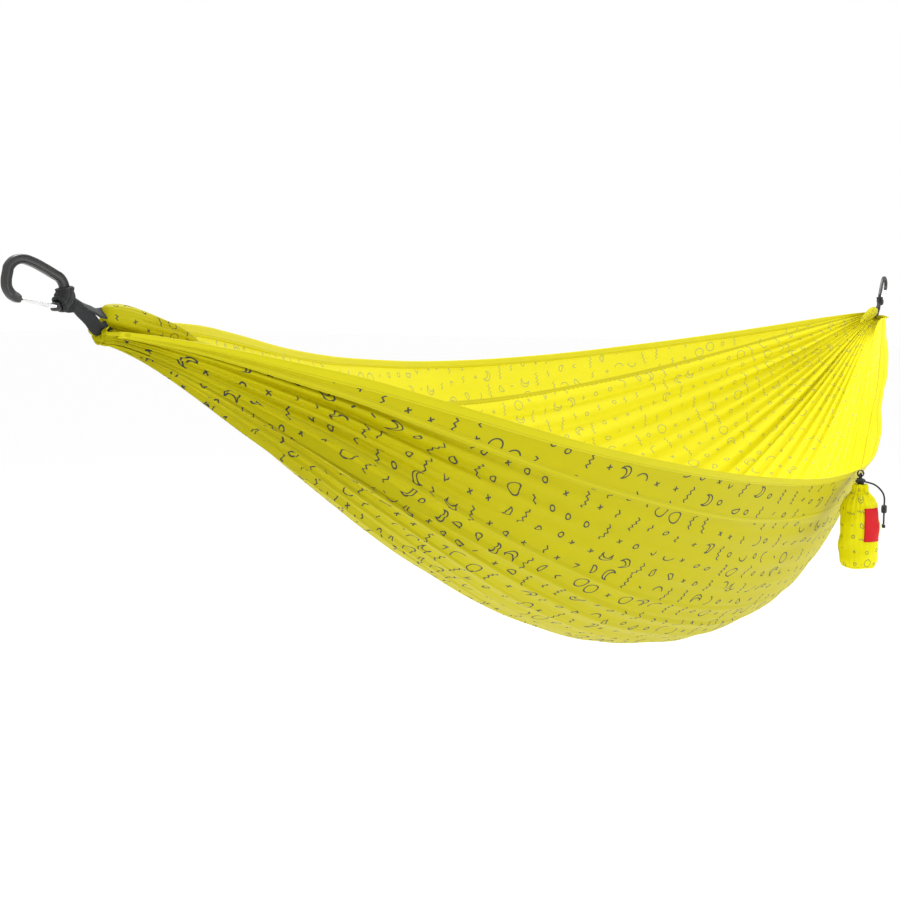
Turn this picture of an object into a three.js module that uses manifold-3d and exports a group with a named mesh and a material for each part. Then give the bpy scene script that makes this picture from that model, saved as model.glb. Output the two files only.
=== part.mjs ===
// Camping hammock of parachute nylon: a gathered bed with two felled edge
// bands, a webbing loop girth-hitched to an aluminium wiregate carabiner at
// each end, and a stuff sack hanging from the middle of the near hem.
// Millimetres, +Z up. Origin: the inside face of the wide end of the left
// carabiner, where a tree strap bears. +X runs to the other end.
import * as THREE from 'three';
import { mergeVertices } from 'three/addons/utils/BufferGeometryUtils.js';
import Module from 'manifold-3d';

// ---- driving dimensions -------------------------------------------------
const FAB_L = [112.9, 0, -44.3];   // where the fabric starts, left end
const FAB_R = [3020, 0, -84];      // where the fabric ends, right end
const AXIS_Z_L = -28.5;            // height of the bed's axis at the left end
const R_NEAR = 410.4, K_NEAR = 1.5, SK_NEAR = -0.08;   // hem towards -Y
const K_NEAR_RIGHT = 1.8;          // its right half draws in sooner
const R_FAR = 410.4, K_FAR = 1.446, SK_FAR = 0.092;    // hem towards +Y
const R_BELLY = 565.2, K_BELLY = 1.31, SK_BELLY = 0.19;
const PHI_NEAR = THREE.MathUtils.degToRad(52.28);
const PHI_FAR = THREE.MathUtils.degToRad(76.64);
const BUNDLE_R = 32.4;             // radius of the gathered bundle
const BAND_ANGLE = THREE.MathUtils.degToRad(10.5);     // edge band, hem to seam
const CLOTH = 3.0;                 // plain thickness that stands for the cloth
const GAP = 0.3;                   // clearance between touching pieces

const CARABINER_INNER = 64;        // inner length, bearing to bearing
const BAR_T = 9.0;                 // bar seen from the side
const BAR_W = 8.0;                 // bar across the carabiner's plane
const NARROW_R = 15.1;             // centreline radius of the narrow end
const KU = 10.3, KV = 0;           // centre of the narrow end
const TILT_L = THREE.MathUtils.degToRad(16.0);         // left carabiner
const TILT_R = THREE.MathUtils.degToRad(52.0);         // right carabiner
const STRAP_TILT_R = THREE.MathUtils.degToRad(38.0);   // right strap
const GATE_U = 9.0, GATE_V = -14.6;                    // gate pivot
const GATE_END_U = 45.2, GATE_END_V = -18.2;
const WIRE_D = 2.6;

const SACK_R = 33.5;               // stuff sack radius
const SACK_H = 121.4;               // its body, below the collar
const CORD_D = 3.0;

// ---- helpers ------------------------------------------------------------
const wasm = await Module(); wasm.setup();
const v3 = (x, y, z) => new THREE.Vector3(x, y, z);
function fromArrays(pos, idx) {
  const g = new THREE.BufferGeometry();
  g.setAttribute('position', new THREE.Float32BufferAttribute(pos, 3));
  g.setIndex(idx);
  return g;
}
function weld(g) {
  const c = g.clone(); c.deleteAttribute('normal'); c.deleteAttribute('uv');
  return mergeVertices(c, 1e-4);
}
function toSolid(g) {
  const w = weld(g);
  return new wasm.Manifold(new wasm.Mesh({ numProp: 3,
    vertProperties: new Float32Array(w.attributes.position.array),
    triVerts: new Uint32Array(w.index.array) }));
}
function toGeometry(m) {
  const k = m.getMesh(); const n = k.numProp; const p = [];
  for (let i = 0; i < k.vertProperties.length / n; i++)
    p.push(k.vertProperties[i * n], k.vertProperties[i * n + 1], k.vertProperties[i * n + 2]);
  return fromArrays(p, Array.from(k.triVerts));
}
// closed thin shell from two grids of points [rows][cols], outer and inner
function shell(outer, inner) {
  const R = outer.length, C = outer[0].length, pos = [], idx = [];
  for (const G of [outer, inner]) for (const row of G) for (const p of row) pos.push(p.x, p.y, p.z);
  const o = (i, j) => i * C + j, n = (i, j) => R * C + i * C + j;
  const quad = (a, b, c, d) => idx.push(a, b, c, a, c, d);
  for (let i = 0; i < R - 1; i++) for (let j = 0; j < C - 1; j++) {
    quad(o(i, j), o(i, j + 1), o(i + 1, j + 1), o(i + 1, j));
    quad(n(i, j), n(i + 1, j), n(i + 1, j + 1), n(i, j + 1));
  }
  for (let j = 0; j < C - 1; j++) {
    quad(o(0, j), n(0, j), n(0, j + 1), o(0, j + 1));
    quad(o(R - 1, j), o(R - 1, j + 1), n(R - 1, j + 1), n(R - 1, j));
  }
  for (let i = 0; i < R - 1; i++) {
    quad(o(i, 0), o(i + 1, 0), n(i + 1, 0), n(i, 0));
    quad(o(i, C - 1), n(i, C - 1), n(i + 1, C - 1), o(i + 1, C - 1));
  }
  return orient(fromArrays(pos, idx));
}
function volume(g) {
  const p = g.attributes.position, ix = g.index; let v = 0;
  const a = v3(), b = v3(), c = v3();
  for (let i = 0; i < ix.count; i += 3) {
    a.fromBufferAttribute(p, ix.getX(i)); b.fromBufferAttribute(p, ix.getX(i + 1)); c.fromBufferAttribute(p, ix.getX(i + 2));
    v += a.dot(b.clone().cross(c)) / 6;
  }
  return v;
}
function orient(g) {
  if (volume(g) < 0) {
    const a = g.index.array;
    for (let i = 0; i < a.length; i += 3) { const t = a[i]; a[i] = a[i + 1]; a[i + 1] = t; }
  }
  return g;
}
// tube with a hole right through it: rings of points, outer and inner
function sleeve(outer, inner) {
  const R = outer.length, C = outer[0].length, pos = [], idx = [];
  for (const G of [outer, inner]) for (const row of G) for (const p of row) pos.push(p.x, p.y, p.z);
  const o = (i, j) => i * C + (j % C), n = (i, j) => R * C + i * C + (j % C);
  const quad = (a, b, c, d) => idx.push(a, b, c, a, c, d);
  for (let i = 0; i < R - 1; i++) for (let j = 0; j < C; j++) {
    quad(o(i, j), o(i, j + 1), o(i + 1, j + 1), o(i + 1, j));
    quad(n(i, j), n(i + 1, j), n(i + 1, j + 1), n(i, j + 1));
  }
  for (let j = 0; j < C; j++) {
    quad(o(0, j), n(0, j), n(0, j + 1), o(0, j + 1));
    quad(o(R - 1, j), o(R - 1, j + 1), n(R - 1, j + 1), n(R - 1, j));
  }
  return orient(fromArrays(pos, idx));
}
// solid sweep through rings of points, capped by fans
function sweep(rings) {
  const R = rings.length, C = rings[0].length, pos = [], idx = [];
  for (const row of rings) for (const p of row) pos.push(p.x, p.y, p.z);
  const o = (i, j) => i * C + (j % C);
  for (let i = 0; i < R - 1; i++) for (let j = 0; j < C; j++)
    idx.push(o(i, j), o(i, j + 1), o(i + 1, j + 1), o(i, j), o(i + 1, j + 1), o(i + 1, j));
  for (const [i, f] of [[0, 1], [R - 1, 0]]) {
    const c = v3(); rings[i].forEach((p) => c.add(p)); c.multiplyScalar(1 / C);
    const k = pos.length / 3; pos.push(c.x, c.y, c.z);
    for (let j = 0; j < C; j++) f ? idx.push(k, o(i, j + 1), o(i, j)) : idx.push(k, o(i, j), o(i, j + 1));
  }
  return orient(fromArrays(pos, idx));
}
// superellipse ring in the plane (a, b) about c, half sizes ra, rb
function ring(c, a, b, ra, rb, n = 16, e = 2) {
  const out = [];
  for (let i = 0; i < n; i++) {
    const t = (i + 0.5) / n * Math.PI * 2, ct = Math.cos(t), st = Math.sin(t);
    const p = Math.sign(ct) * Math.abs(ct) ** (2 / e), q = Math.sign(st) * Math.abs(st) ** (2 / e);
    out.push(c.clone().addScaledVector(a, ra * p).addScaledVector(b, rb * q));
  }
  return out;
}
function tube(points, d, sides, steps, closed = false) {
  const curve = new THREE.CatmullRomCurve3(points, closed, 'centripetal');
  const s = new THREE.Shape();
  for (let i = 0; i <= sides; i++) {
    const t = i / sides * Math.PI * 2, x = d / 2 * Math.cos(t), y = d / 2 * Math.sin(t);
    i ? s.lineTo(x, y) : s.moveTo(x, y);
  }
  return new THREE.ExtrudeGeometry(s, { steps, extrudePath: curve, bevelEnabled: false, curveSegments: sides });
}
const smooth = (a, b, x) => { const t = Math.min(1, Math.max(0, (x - a) / (b - a))); return t * t * (3 - 2 * t); };

// ---- the bed's surface --------------------------------------------------
function axisZ(s) {
  return AXIS_Z_L + (FAB_R[2] - AXIS_Z_L) * s + (FAB_L[2] - AXIS_Z_L) * (1 - smooth(0, 0.12, s));
}
function radius(s, phi) {
  const e = phi >= 0 ? [R_NEAR, s < 0.5 ? K_NEAR : K_NEAR_RIGHT, SK_NEAR, PHI_NEAR] : [R_FAR, K_FAR, SK_FAR, PHI_FAR];
  const w = smooth(0, 1, Math.abs(phi) / e[3]);
  const R = R_BELLY + (e[0] - R_BELLY) * w, K = K_BELLY + (e[1] - K_BELLY) * w, A = SK_BELLY + (e[2] - SK_BELLY) * w;
  return BUNDLE_R + R * Math.pow(Math.max(0, 4 * s * (1 - s)), K) * (1 + A * (2 * s - 1));
}
function bed(s, phi, off = 0) {
  const r = radius(s, phi) + off;
  return v3(FAB_L[0] + (FAB_R[0] - FAB_L[0]) * s, -Math.sin(phi) * r, axisZ(s) - Math.cos(phi) * r);
}
const CHANNEL = 36;                // length of the gathered end inside the bed
const S0 = CHANNEL / (FAB_R[0] - FAB_L[0]);
// rows closer together near the gathered ends
const rows = (n) => Array.from({ length: n + 1 }, (_, i) => {
  const t = i / n, w = 0.5 - 0.5 * Math.cos(Math.PI * t); return S0 + (1 - 2 * S0) * (0.45 * t + 0.55 * w);
});
function panel(phiA, phiB, nPhi, nS, ga, gb) {
  const make = (off) => rows(nS).map((s) => {
    const rm = radius(s, (phiA + phiB) / 2), a = phiA + ga * GAP * 0.5 / rm, b = phiB - gb * GAP * 0.5 / rm;
    return Array.from({ length: nPhi + 1 }, (_, j) => bed(s, a + (b - a) * j / nPhi, off));
  });
  return shell(make(CLOTH / 2), make(-CLOTH / 2));
}
// one length of a panel, a hair short at its cut ends
function panelLength(phiA, phiB, nPhi, nS, k, lengths) {
  const all = rows(nS), cut = GAP * 0.5 / (FAB_R[0] - FAB_L[0]);
  const part = all.slice(Math.round(k * nS / lengths), Math.round((k + 1) * nS / lengths) + 1);
  if (k > 0) part[0] += cut;
  if (k < lengths - 1) part[part.length - 1] -= cut;
  const make = (off) => part.map((s) => {
    const rm = radius(s, (phiA + phiB) / 2), a = phiA + GAP * 0.5 / rm, b = phiB - GAP * 0.5 / rm;
    return Array.from({ length: nPhi + 1 }, (_, j) => bed(s, a + (b - a) * j / nPhi, off));
  });
  return shell(make(CLOTH / 2), make(-CLOTH / 2));
}
const seamNear = PHI_NEAR - BAND_ANGLE, seamFar = -(PHI_FAR - BAND_ANGLE);

// ---- materials ----------------------------------------------------------
const mat = (color, roughness, metalness) => new THREE.MeshStandardMaterial({ color, roughness, metalness });
const nylon = mat(0xe2d92a, 0.5, 0), webbing = mat(0x2c2e32, 0.85, 0), alloy = mat(0x3d4146, 0.35, 0.9);
const wireMat = mat(0xc9ccd0, 0.25, 1), label = mat(0xd92b33, 0.7, 0), cordMat = mat(0x141416, 0.8, 0);
const lockMat = mat(0x1a1a1c, 0.5, 0), springMat = mat(0xb9bcc0, 0.3, 1);

const hammock = new THREE.Group();
function add(name, geometry, material, parent = hammock) {
  const m = new THREE.Mesh(geometry, material); m.name = name; parent.add(m); return m;
}

// ---- bed panels ---------------------------------------------------------
['left_end', 'left', 'right', 'right_end'].forEach((n, k) =>
  add(`center_panel_${n}`, panelLength(seamFar, seamNear, 16, 28, k, 4), nylon));
add('edge_panel_near', panel(seamNear, PHI_NEAR, 2, 28, 1, 0), nylon);
add('edge_panel_far', panel(-PHI_FAR, seamFar, 2, 28, 0, 1), nylon);

// ---- ends: strap directions and carabiner frames ------------------------
const bearingL = v3(0, 0, 0);
const uL = v3(-Math.cos(TILT_L), 0, Math.sin(TILT_L));
const kL = bearingL.clone().addScaledVector(uL, -(CARABINER_INNER - KU));
const fabL = v3(...FAB_L), fabR = v3(...FAB_R);
const dirL = fabL.clone().sub(kL).normalize();          // from the carabiner to the fabric
const strapLen = fabL.distanceTo(kL);
const dirR = v3(-Math.cos(STRAP_TILT_R), 0, -Math.sin(STRAP_TILT_R));
const kR = fabR.clone().addScaledVector(dirR, -strapLen);
const uR = v3(Math.cos(TILT_R), 0, Math.sin(TILT_R));
const bearingR = kR.clone().addScaledVector(uR, CARABINER_INNER - KU);

const Y = v3(0, 1, 0);
const SLEEVE_IN = [4.5 + 0.35, 4 + 0.35], SLEEVE_T = 2.6;   // webbing round the bar
const NECK_OUT = NARROW_R + SLEEVE_IN[0] + SLEEVE_T;        // from K
const NECK_END = NECK_OUT + 8;
const SLEEVE_HALF = THREE.MathUtils.degToRad(30);

// hitch: webbing wrapped round the narrow end, with a neck towards the fabric
function hitch(k, dir) {
  const side = new THREE.Vector3().crossVectors(dir, Y).normalize();
  const N = 6, outer = [], inner = [];
  for (let i = 0; i <= N; i++) {
    const t = -SLEEVE_HALF + 2 * SLEEVE_HALF * i / N;
    const rad = dir.clone().multiplyScalar(Math.cos(t)).addScaledVector(side, Math.sin(t));
    const c = k.clone().addScaledVector(rad, NARROW_R);
    outer.push(ring(c, rad, Y, SLEEVE_IN[0] + SLEEVE_T, SLEEVE_IN[1] + SLEEVE_T, 12, 3));
    inner.push(ring(c, rad, Y, SLEEVE_IN[0] + 0.6, SLEEVE_IN[1] + 0.6, 12, 4));
  }
  const wrap = toSolid(sleeve(outer, inner));
  const rings = [];
  for (let i = 0; i <= 3; i++) {
    const d = NECK_OUT - 1.2 + (NECK_END - NECK_OUT + 1.2) * i / 3;
    rings.push(ring(k.clone().addScaledVector(dir, d), side, Y, 7.5 - 1.5 * i / 3, 5.0 - 0.5 * i / 3, 16, 3));
  }
  return toGeometry(wrap.add(toSolid(sweep(rings))));
}
// strap: the two legs of the webbing loop, lying together, into the channel
function strap(k, dir, fab, sx) {
  const side = new THREE.Vector3().crossVectors(dir, Y).normalize();
  const rings = [];
  const a = NECK_END + GAP, b = strapLen - 13;
  for (let i = 0; i <= 4; i++) {
    const t = i / 4;
    rings.push(ring(k.clone().addScaledVector(dir, a + (b - a) * t), side, Y, 6 + 3.5 * t, 4.4 - 1.4 * t, 16, 3));
  }
  const flat = v3(0, 0, 1).multiplyScalar(Math.sign(side.z) || 1);
  for (let i = 0; i <= 3; i++) {
    const p = fab.clone().add(v3(sx * (2 + 27 * i / 3), 0, 0));
    rings.push(ring(p, flat, Y, 9.6, 2.8, 16, 3));
  }
  return sweep(rings);
}
// channel: the gathered tunnel at the end of the cloth, round the webbing
function channel(fab, sx) {
  const outer = [], inner = [], N = 4;
  for (let i = 0; i <= N; i++) {
    const t = i / N, c = fab.clone().add(v3(sx * (-5 + (CHANNEL + 5 - GAP) * t), 0, 0));
    const bulge = 1 + 0.10 * Math.sin(Math.PI * t);
    outer.push(ring(c, v3(0, 0, 1), Y, (22 + 4 * t) * bulge, (15 + 7 * t) * bulge, 20, 2.2));
    inner.push(ring(c, v3(0, 0, 1), Y, 12.5 + 3.5 * (1 - t) ** 2, 4.6, 20, 2.6));
  }
  return sleeve(outer, inner);
}
add('channel_left', channel(fabL, 1), nylon);
add('channel_right', channel(fabR, -1), nylon);
add('strap_left', strap(kL, dirL, fabL, 1), webbing);
add('strap_right', strap(kR, dirR, fabR, -1), webbing);
add('hitch_left', hitch(kL, dirL), webbing);
add('hitch_right', hitch(kR, dirR), webbing);

// ---- carabiner, in its own frame: X = u (to the wide end), Z = v (spine) --
function carabinerOutline() {
  // centreline from the gate lug round the narrow end, spine and wide end to the nose
  const pts = [];
  for (let i = 0; i <= 12; i++) {
    const a = THREE.MathUtils.degToRad(262 - 172 * i / 12);
    pts.push([KU + NARROW_R * Math.cos(a), KV + NARROW_R * Math.sin(a)]);
  }
  const cu = CARABINER_INNER + BAR_T / 2;
  const tail = new THREE.CatmullRomCurve3([
    v3(KU, KV + NARROW_R, 0), v3(24, 17.0, 0), v3(42, 18.6, 0), v3(55, 17.6, 0),
    v3(63.8, 12.8, 0), v3(cu, 5.6, 0)], false, 'centripetal').getPoints(13);
  tail.slice(1).forEach((p) => pts.push([p.x, p.y]));
  pts.push([cu, 3.5], [cu, -3.5], [cu, -5.0]);      // flat where the tree strap bears
  const nose = new THREE.CatmullRomCurve3([
    v3(cu, -5.0, 0), v3(66.3, -12.0, 0), v3(60.0, -17.0, 0), v3(52.0, -18.6, 0), v3(47.6, -18.6, 0)], false, 'centripetal').getPoints(9);
  nose.slice(1).forEach((p) => pts.push([p.x, p.y]));
  return pts;
}
function carabinerBody() {
  const c = carabinerOutline(), n = c.length, L = [], R = [];
  for (let i = 0; i < n; i++) {
    const a = c[Math.max(0, i - 1)], b = c[Math.min(n - 1, i + 1)];
    let tx = b[0] - a[0], ty = b[1] - a[1]; const l = Math.hypot(tx, ty); tx /= l; ty /= l;
    const f = i < 2 ? 0.72 : 1, h = BAR_T / 2 * (i > n - 3 ? 0.82 : f);
    L.push([c[i][0] - ty * h, c[i][1] + tx * h]); R.push([c[i][0] + ty * h, c[i][1] - tx * h]);
  }
  const s = new THREE.Shape();
  [...L, ...R.reverse()].forEach((p, i) => (i ? s.lineTo(p[0], p[1]) : s.moveTo(p[0], p[1])));
  s.closePath();
  const bev = 2.0;
  const g = new THREE.ExtrudeGeometry(s, { depth: BAR_W - 2 * bev, steps: 1, bevelEnabled: true,
    bevelThickness: bev, bevelSize: 1.6, bevelOffset: -1.6, bevelSegments: 1, curveSegments: 4 });
  // shape plane (x, y) -> (u, v), extrusion -> -Y of the carabiner's frame
  g.translate(0, 0, -(BAR_W - 2 * bev) / 2);
  g.rotateX(Math.PI / 2);
  return g;
}
function gateWire() {
  const y0 = BAR_W / 2 + WIRE_D / 2 + 0.35, y1 = 2.2, u0 = GATE_U, w0 = GATE_V, u1 = GATE_END_U, w1 = GATE_END_V;
  const p = (t, y) => v3(u0 + (u1 - u0) * t, y, w0 + (w1 - w0) * t);
  return tube([p(-0.03, y0), p(0.15, y0 * 0.96), p(0.5, y0 * 0.72), p(0.86, y1 + 0.5), p(0.97, y1 * 0.75), p(1, 0),
    p(0.97, -y1 * 0.75), p(0.86, -y1 - 0.5), p(0.5, -y0 * 0.72), p(0.15, -y0 * 0.96), p(-0.03, -y0)], WIRE_D, 8, 26);
}
function place(bearing, u) {
  const v = v3(0, 0, 1).addScaledVector(u, -u.z).normalize();
  const g = new THREE.Group();
  const m = new THREE.Matrix4().makeBasis(u, new THREE.Vector3().crossVectors(v, u), v);
  m.setPosition(bearing.clone().addScaledVector(u, -CARABINER_INNER));
  m.decompose(g.position, g.quaternion, g.scale);
  hammock.add(g);
  return g;
}
for (const [side, bearing, u] of [['left', bearingL, uL], ['right', bearingR, uR]]) {
  const g = place(bearing, u);
  add(`carabiner_body_${side}`, carabinerBody(), alloy, g);
  add(`gate_${side}`, gateWire(), wireMat, g);
}

// ---- stuff sack, hanging from the near hem's middle ---------------------
const hem = bed(0.5, PHI_NEAR);
const pivot = v3(hem.x, hem.y - 8.9, hem.z - 3);       // centre of the sewn loop
{
  // sewn webbing loop, its hole along X
  const s = new THREE.Shape(); s.absarc(0, 0, 7, 0, Math.PI * 2, false);
  const h = new THREE.Path(); h.absarc(0, 0, 4.2, 0, Math.PI * 2, true); s.holes.push(h);
  const g = new THREE.ExtrudeGeometry(s, { depth: 5, bevelEnabled: false, curveSegments: 10 });
  g.translate(0, 0, -2.5); g.rotateY(Math.PI / 2);
  const m = add('sack_tab', g, nylon); m.position.copy(pivot);
}
const sack = new THREE.Group(); sack.position.copy(pivot); hammock.add(sack);
const lathe = (pts, seg) => {
  const g = new THREE.LatheGeometry(pts.map(([r, z]) => new THREE.Vector2(r, z)), seg);
  g.rotateX(Math.PI / 2);          // lathe axis Y -> Z
  return weld(g);
};
const closeLathe = (pts, seg = 20) => {
  const g = lathe([...pts, pts[0]], seg); return orient(g);
};
// loop of cord through the tab, both ends down to the knot
add('hang_loop', tube([v3(-3.9, 0, -7.6), v3(-5.1, 0, -5.0), v3(-4.8, 0, -2.4), v3(-2.3, 0, -0.3), v3(0, 0, 0),
  v3(2.3, 0, -0.3), v3(4.8, 0, -2.4), v3(5.1, 0, -5.0), v3(3.9, 0, -7.6)], CORD_D, 8, 18), cordMat, sack);
{
  const g = new THREE.SphereGeometry(1, 12, 8); g.rotateX(Math.PI / 2); g.scale(9.5, 8.5, 5.3);
  const m = add('hang_knot', weld(g), cordMat, sack); m.position.set(0, 0, -13.0);
}
add('sack_collar', closeLathe([[7, -18.6], [12.4, -19], [13.6, -22.6], [14.2, -27.6], [17.5, -33.6], [14.5, -33.6], [10.5, -27.6], [7, -22.6]]), nylon, sack);
const Z0 = -34.0, Z1 = Z0 - SACK_H;
add('sack_body', closeLathe([[17.6, Z0], [24.0, Z0 - 6], [29.5, Z0 - 17], [32.2, Z0 - 32], [SACK_R, Z0 - 55], [SACK_R, Z1 + 22], [32.4, Z1 + 6], [30.6, Z1],
  [28.6, Z1], [30.4, Z1 + 6], [SACK_R - 2, Z1 + 22], [SACK_R - 2, Z0 - 55], [30.2, Z0 - 32], [27.4, Z0 - 17], [22.0, Z0 - 7.5], [15.6, Z0 - 1.0]]), nylon, sack);
add('sack_base', orient(lathe([[0, Z1 - 0.3], [30.6, Z1 - 0.3], [29.6, Z1 - 3.2], [24, Z1 - 5.6], [12, Z1 - 6.8], [0, Z1 - 7.2]], 20)), nylon, sack);
{
  // sewn label, curved with the sack
  const a0 = Math.atan2(-0.866, -0.50), half = 0.52, zt = Z0 - 22, zb = zt - 57, N = 8;
  const R = (z) => { const t = Math.min(1, Math.max(0, (Z0 - 17 - z) / 38)); return 29.5 + (SACK_R - 29.5) * Math.sin(t * Math.PI / 2); };
  const make = (off) => Array.from({ length: 7 }, (_, i) => {
    const z = zt + (zb - zt) * i / 6;
    return Array.from({ length: N + 1 }, (_, j) => { const a = a0 - half + 2 * half * j / N, r = R(z) + off; return v3(r * Math.cos(a), r * Math.sin(a), z); });
  });
  add('sack_label', shell(make(2.0), make(1.1)), label, sack);
}
// drawcord tail: out of the knot, down the outer side of the sack
const CY = -41.5, LOCK_Z = -58;
const cordPath = [v3(0, -8.9, -14), v3(0, -15, -14.8), v3(0, -24, -17.4), v3(0, -33, -23.8), v3(0, -39.5, -32.5), v3(0, CY, -41),
  v3(0, CY, -50), v3(0, CY, -60), v3(0, CY, -72), v3(0, CY, -83.5)];
add('drawcord', tube(cordPath, CORD_D, 8, 30), cordMat, sack);
{
  const g = new THREE.SphereGeometry(1, 12, 8); g.rotateX(Math.PI / 2); g.scale(3.1, 3.1, 3.4);
  const m = add('tail_knot', weld(g), cordMat, sack); m.position.set(0, CY, -87.3);
}
{
  // cord lock: barrel with a bore along X and a hole down for the cord
  const s = new THREE.Shape(); const w = 4.6, h = 7;
  s.moveTo(-w, -h + w); s.absarc(0, -h + w, w, Math.PI, Math.PI * 2, false); s.absarc(0, h - w, w, 0, Math.PI, false); s.closePath();
  const shellG = new THREE.ExtrudeGeometry(s, { depth: 5.6, bevelEnabled: true, bevelThickness: 1.2, bevelSize: 1, bevelOffset: -1, bevelSegments: 2, curveSegments: 8 });
  shellG.translate(0, 0, -2.8); shellG.rotateX(Math.PI / 2);
  const bore = new THREE.CylinderGeometry(3.0, 3.0, 8.4, 16); bore.rotateZ(Math.PI / 2); bore.translate(1.3, 0, 0);
  const hole = new THREE.CylinderGeometry(1.95, 1.95, 20, 12); hole.rotateX(Math.PI / 2);
  const barrel = toSolid(shellG).subtract(toSolid(bore)).subtract(toSolid(hole));
  const m = add('cord_lock_barrel', toGeometry(barrel), lockMat, sack); m.position.set(0, CY, LOCK_Z);
  const b0 = new THREE.CylinderGeometry(2.6, 2.6, 7.7, 16); b0.rotateZ(Math.PI / 2); b0.translate(2.95, 0, 0);
  const slot = new THREE.BoxGeometry(5.6, 3.6, 12); slot.translate(0.95, 0, 0);
  const btn = toSolid(b0).subtract(toSolid(slot));
  const bm = add('cord_lock_button', toGeometry(btn), lockMat, sack); bm.position.set(0, CY, LOCK_Z);
  // spring at the bottom of the bore, in front of the blind end
  const sp = closeLathe([[1.6, -0.22], [2.5, -0.22], [2.5, 0.22], [1.6, 0.22]], 12);
  sp.rotateY(Math.PI / 2);
  const sm = add('cord_lock_spring', sp, springMat, sack); sm.position.set(-2.5, CY, LOCK_Z);
}

export default hammock;
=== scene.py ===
"""Camping hammock: printed nylon bed, webbing, wiregate carabiners, stuff sack."""
import bpy, bmesh, math
import numpy as np
from mathutils import Vector, Matrix


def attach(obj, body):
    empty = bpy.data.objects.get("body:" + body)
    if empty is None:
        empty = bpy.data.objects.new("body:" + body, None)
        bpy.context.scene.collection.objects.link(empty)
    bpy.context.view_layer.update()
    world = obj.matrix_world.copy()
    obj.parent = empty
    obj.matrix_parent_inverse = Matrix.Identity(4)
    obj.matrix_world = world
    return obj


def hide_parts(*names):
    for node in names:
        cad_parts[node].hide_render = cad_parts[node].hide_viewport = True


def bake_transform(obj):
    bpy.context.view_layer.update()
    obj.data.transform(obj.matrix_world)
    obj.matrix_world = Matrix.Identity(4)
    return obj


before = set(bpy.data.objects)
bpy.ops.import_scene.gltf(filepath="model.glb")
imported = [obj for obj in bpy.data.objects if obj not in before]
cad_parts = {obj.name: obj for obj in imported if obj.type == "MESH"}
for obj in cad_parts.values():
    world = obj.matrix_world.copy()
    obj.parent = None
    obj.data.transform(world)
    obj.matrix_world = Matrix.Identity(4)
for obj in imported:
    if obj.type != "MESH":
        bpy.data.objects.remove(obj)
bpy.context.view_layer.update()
rng = np.random.RandomState(7)

# ------------------------------------------------------------------ camera
YAW, PITCH = math.radians(30.274), math.radians(6.3)
cam_data = bpy.data.cameras.new("camera")
cam = bpy.data.objects.new("camera", cam_data)
bpy.context.scene.collection.objects.link(cam)
cam.location = (-0.9827, -1.0350, -0.0089)
_fw = Vector((math.cos(YAW) * math.cos(PITCH), math.sin(YAW) * math.cos(PITCH), -math.sin(PITCH)))
cam.rotation_mode = "QUATERNION"
cam.rotation_quaternion = _fw.to_track_quat("-Z", "Y")
cam_data.sensor_width = 36.0
cam_data.lens = 1500.0 / 900.0 * 36.0
cam_data.clip_start, cam_data.clip_end = 0.02, 60.0
bpy.context.scene.camera = cam

# ------------------------------------------------------- the bed's surface
FL, FR = np.array([0.1129, 0, -0.0443]), np.array([3.020, 0, -0.084])
AXZ = -0.0285
D2R = math.pi / 180
RN, KN, SN, PN = 0.4104, 1.5, -0.08, 52.28 * D2R
RF, KF, SF, PF = 0.4104, 1.446, 0.092, 76.64 * D2R
RB, KB, SB = 0.5680, 1.31, 0.165
KN_RIGHT = 1.95
R0 = 0.0324
BAND = 10.5 * D2R


def smooth(a, b, x):
    t = np.clip((x - a) / (b - a), 0, 1)
    return t * t * (3 - 2 * t)


def axis_z(s):
    return AXZ + (FR[2] - AXZ) * s + (FL[2] - AXZ) * (1 - smooth(0, 0.12, s))


def end_open(s, a):
    """How far the hem closes over the bundle near the gathered ends, radians."""
    d = np.minimum(s, 1 - s)
    return a * np.exp(-d / 0.045)


def phi_near(s):
    return PN + end_open(s, 8 * D2R)


def phi_far(s):
    return PF + end_open(s, 17 * D2R)


def radius(s, phi):
    near = phi >= 0
    edge = np.where(near, phi_near(s), phi_far(s))
    w = smooth(0, 1, np.abs(phi) / edge)
    R = RB + (np.where(near, RN, RF) - RB) * w
    K = KB + (np.where(near, np.where(np.asarray(s) < 0.5, KN, KN_RIGHT), KF) - KB) * w
    A = SB + (np.where(near, SN, SF) - SB) * w
    b = np.maximum(0, 4 * s * (1 - s))
    d = np.minimum(s, 1 - s) * 2.907
    r0 = 0.0208 + (R0 - 0.0208) * smooth(0.0, 0.26, d)
    return r0 + R * b ** K * (1 + A * (2 * s - 1))


# the near side stands wider of the axis towards the right end
WIDE_D = [0.0, 0.02, 0.04, 0.06, 0.09, 0.12, 0.16, 0.2, 0.26, 0.33, 0.4, 0.5, 0.6, 0.75, 0.9, 1.15, 1.45]
WIDE_M = [1.04, 1.06, 1.055, 1.03, 0.955, 0.887, 0.792, 0.689, 0.546, 0.436, 0.348, 0.237, 0.142, 0.030, -0.028, -0.030, 0.0]


def base(s, phi):
    r = radius(s, phi)
    x = FL[0] + (FR[0] - FL[0]) * s
    d = np.minimum(s, 1 - s) * 2.907
    wide = np.interp(d, WIDE_D, WIDE_M) * smooth(0.0, 0.9, np.asarray(phi)) + 0.12 * (1 - smooth(0.0, 0.12, d)) * (np.asarray(phi) <= 0)
    flat = 1 + np.where(np.asarray(s) < 0.5, -0.28 * (1 - smooth(0.0, 0.12, d)), wide)
    return np.stack(np.broadcast_arrays(x, -np.sin(phi) * r * flat, axis_z(s) - np.cos(phi) * r), -1)


# rows: denser near the gathered ends
NR = 176
_t = np.linspace(0, 1, NR)
S = 0.0035 + (1 - 0.007) * (0.5 * _t + 0.5 * (0.5 - 0.5 * np.cos(math.pi * _t)))

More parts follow.
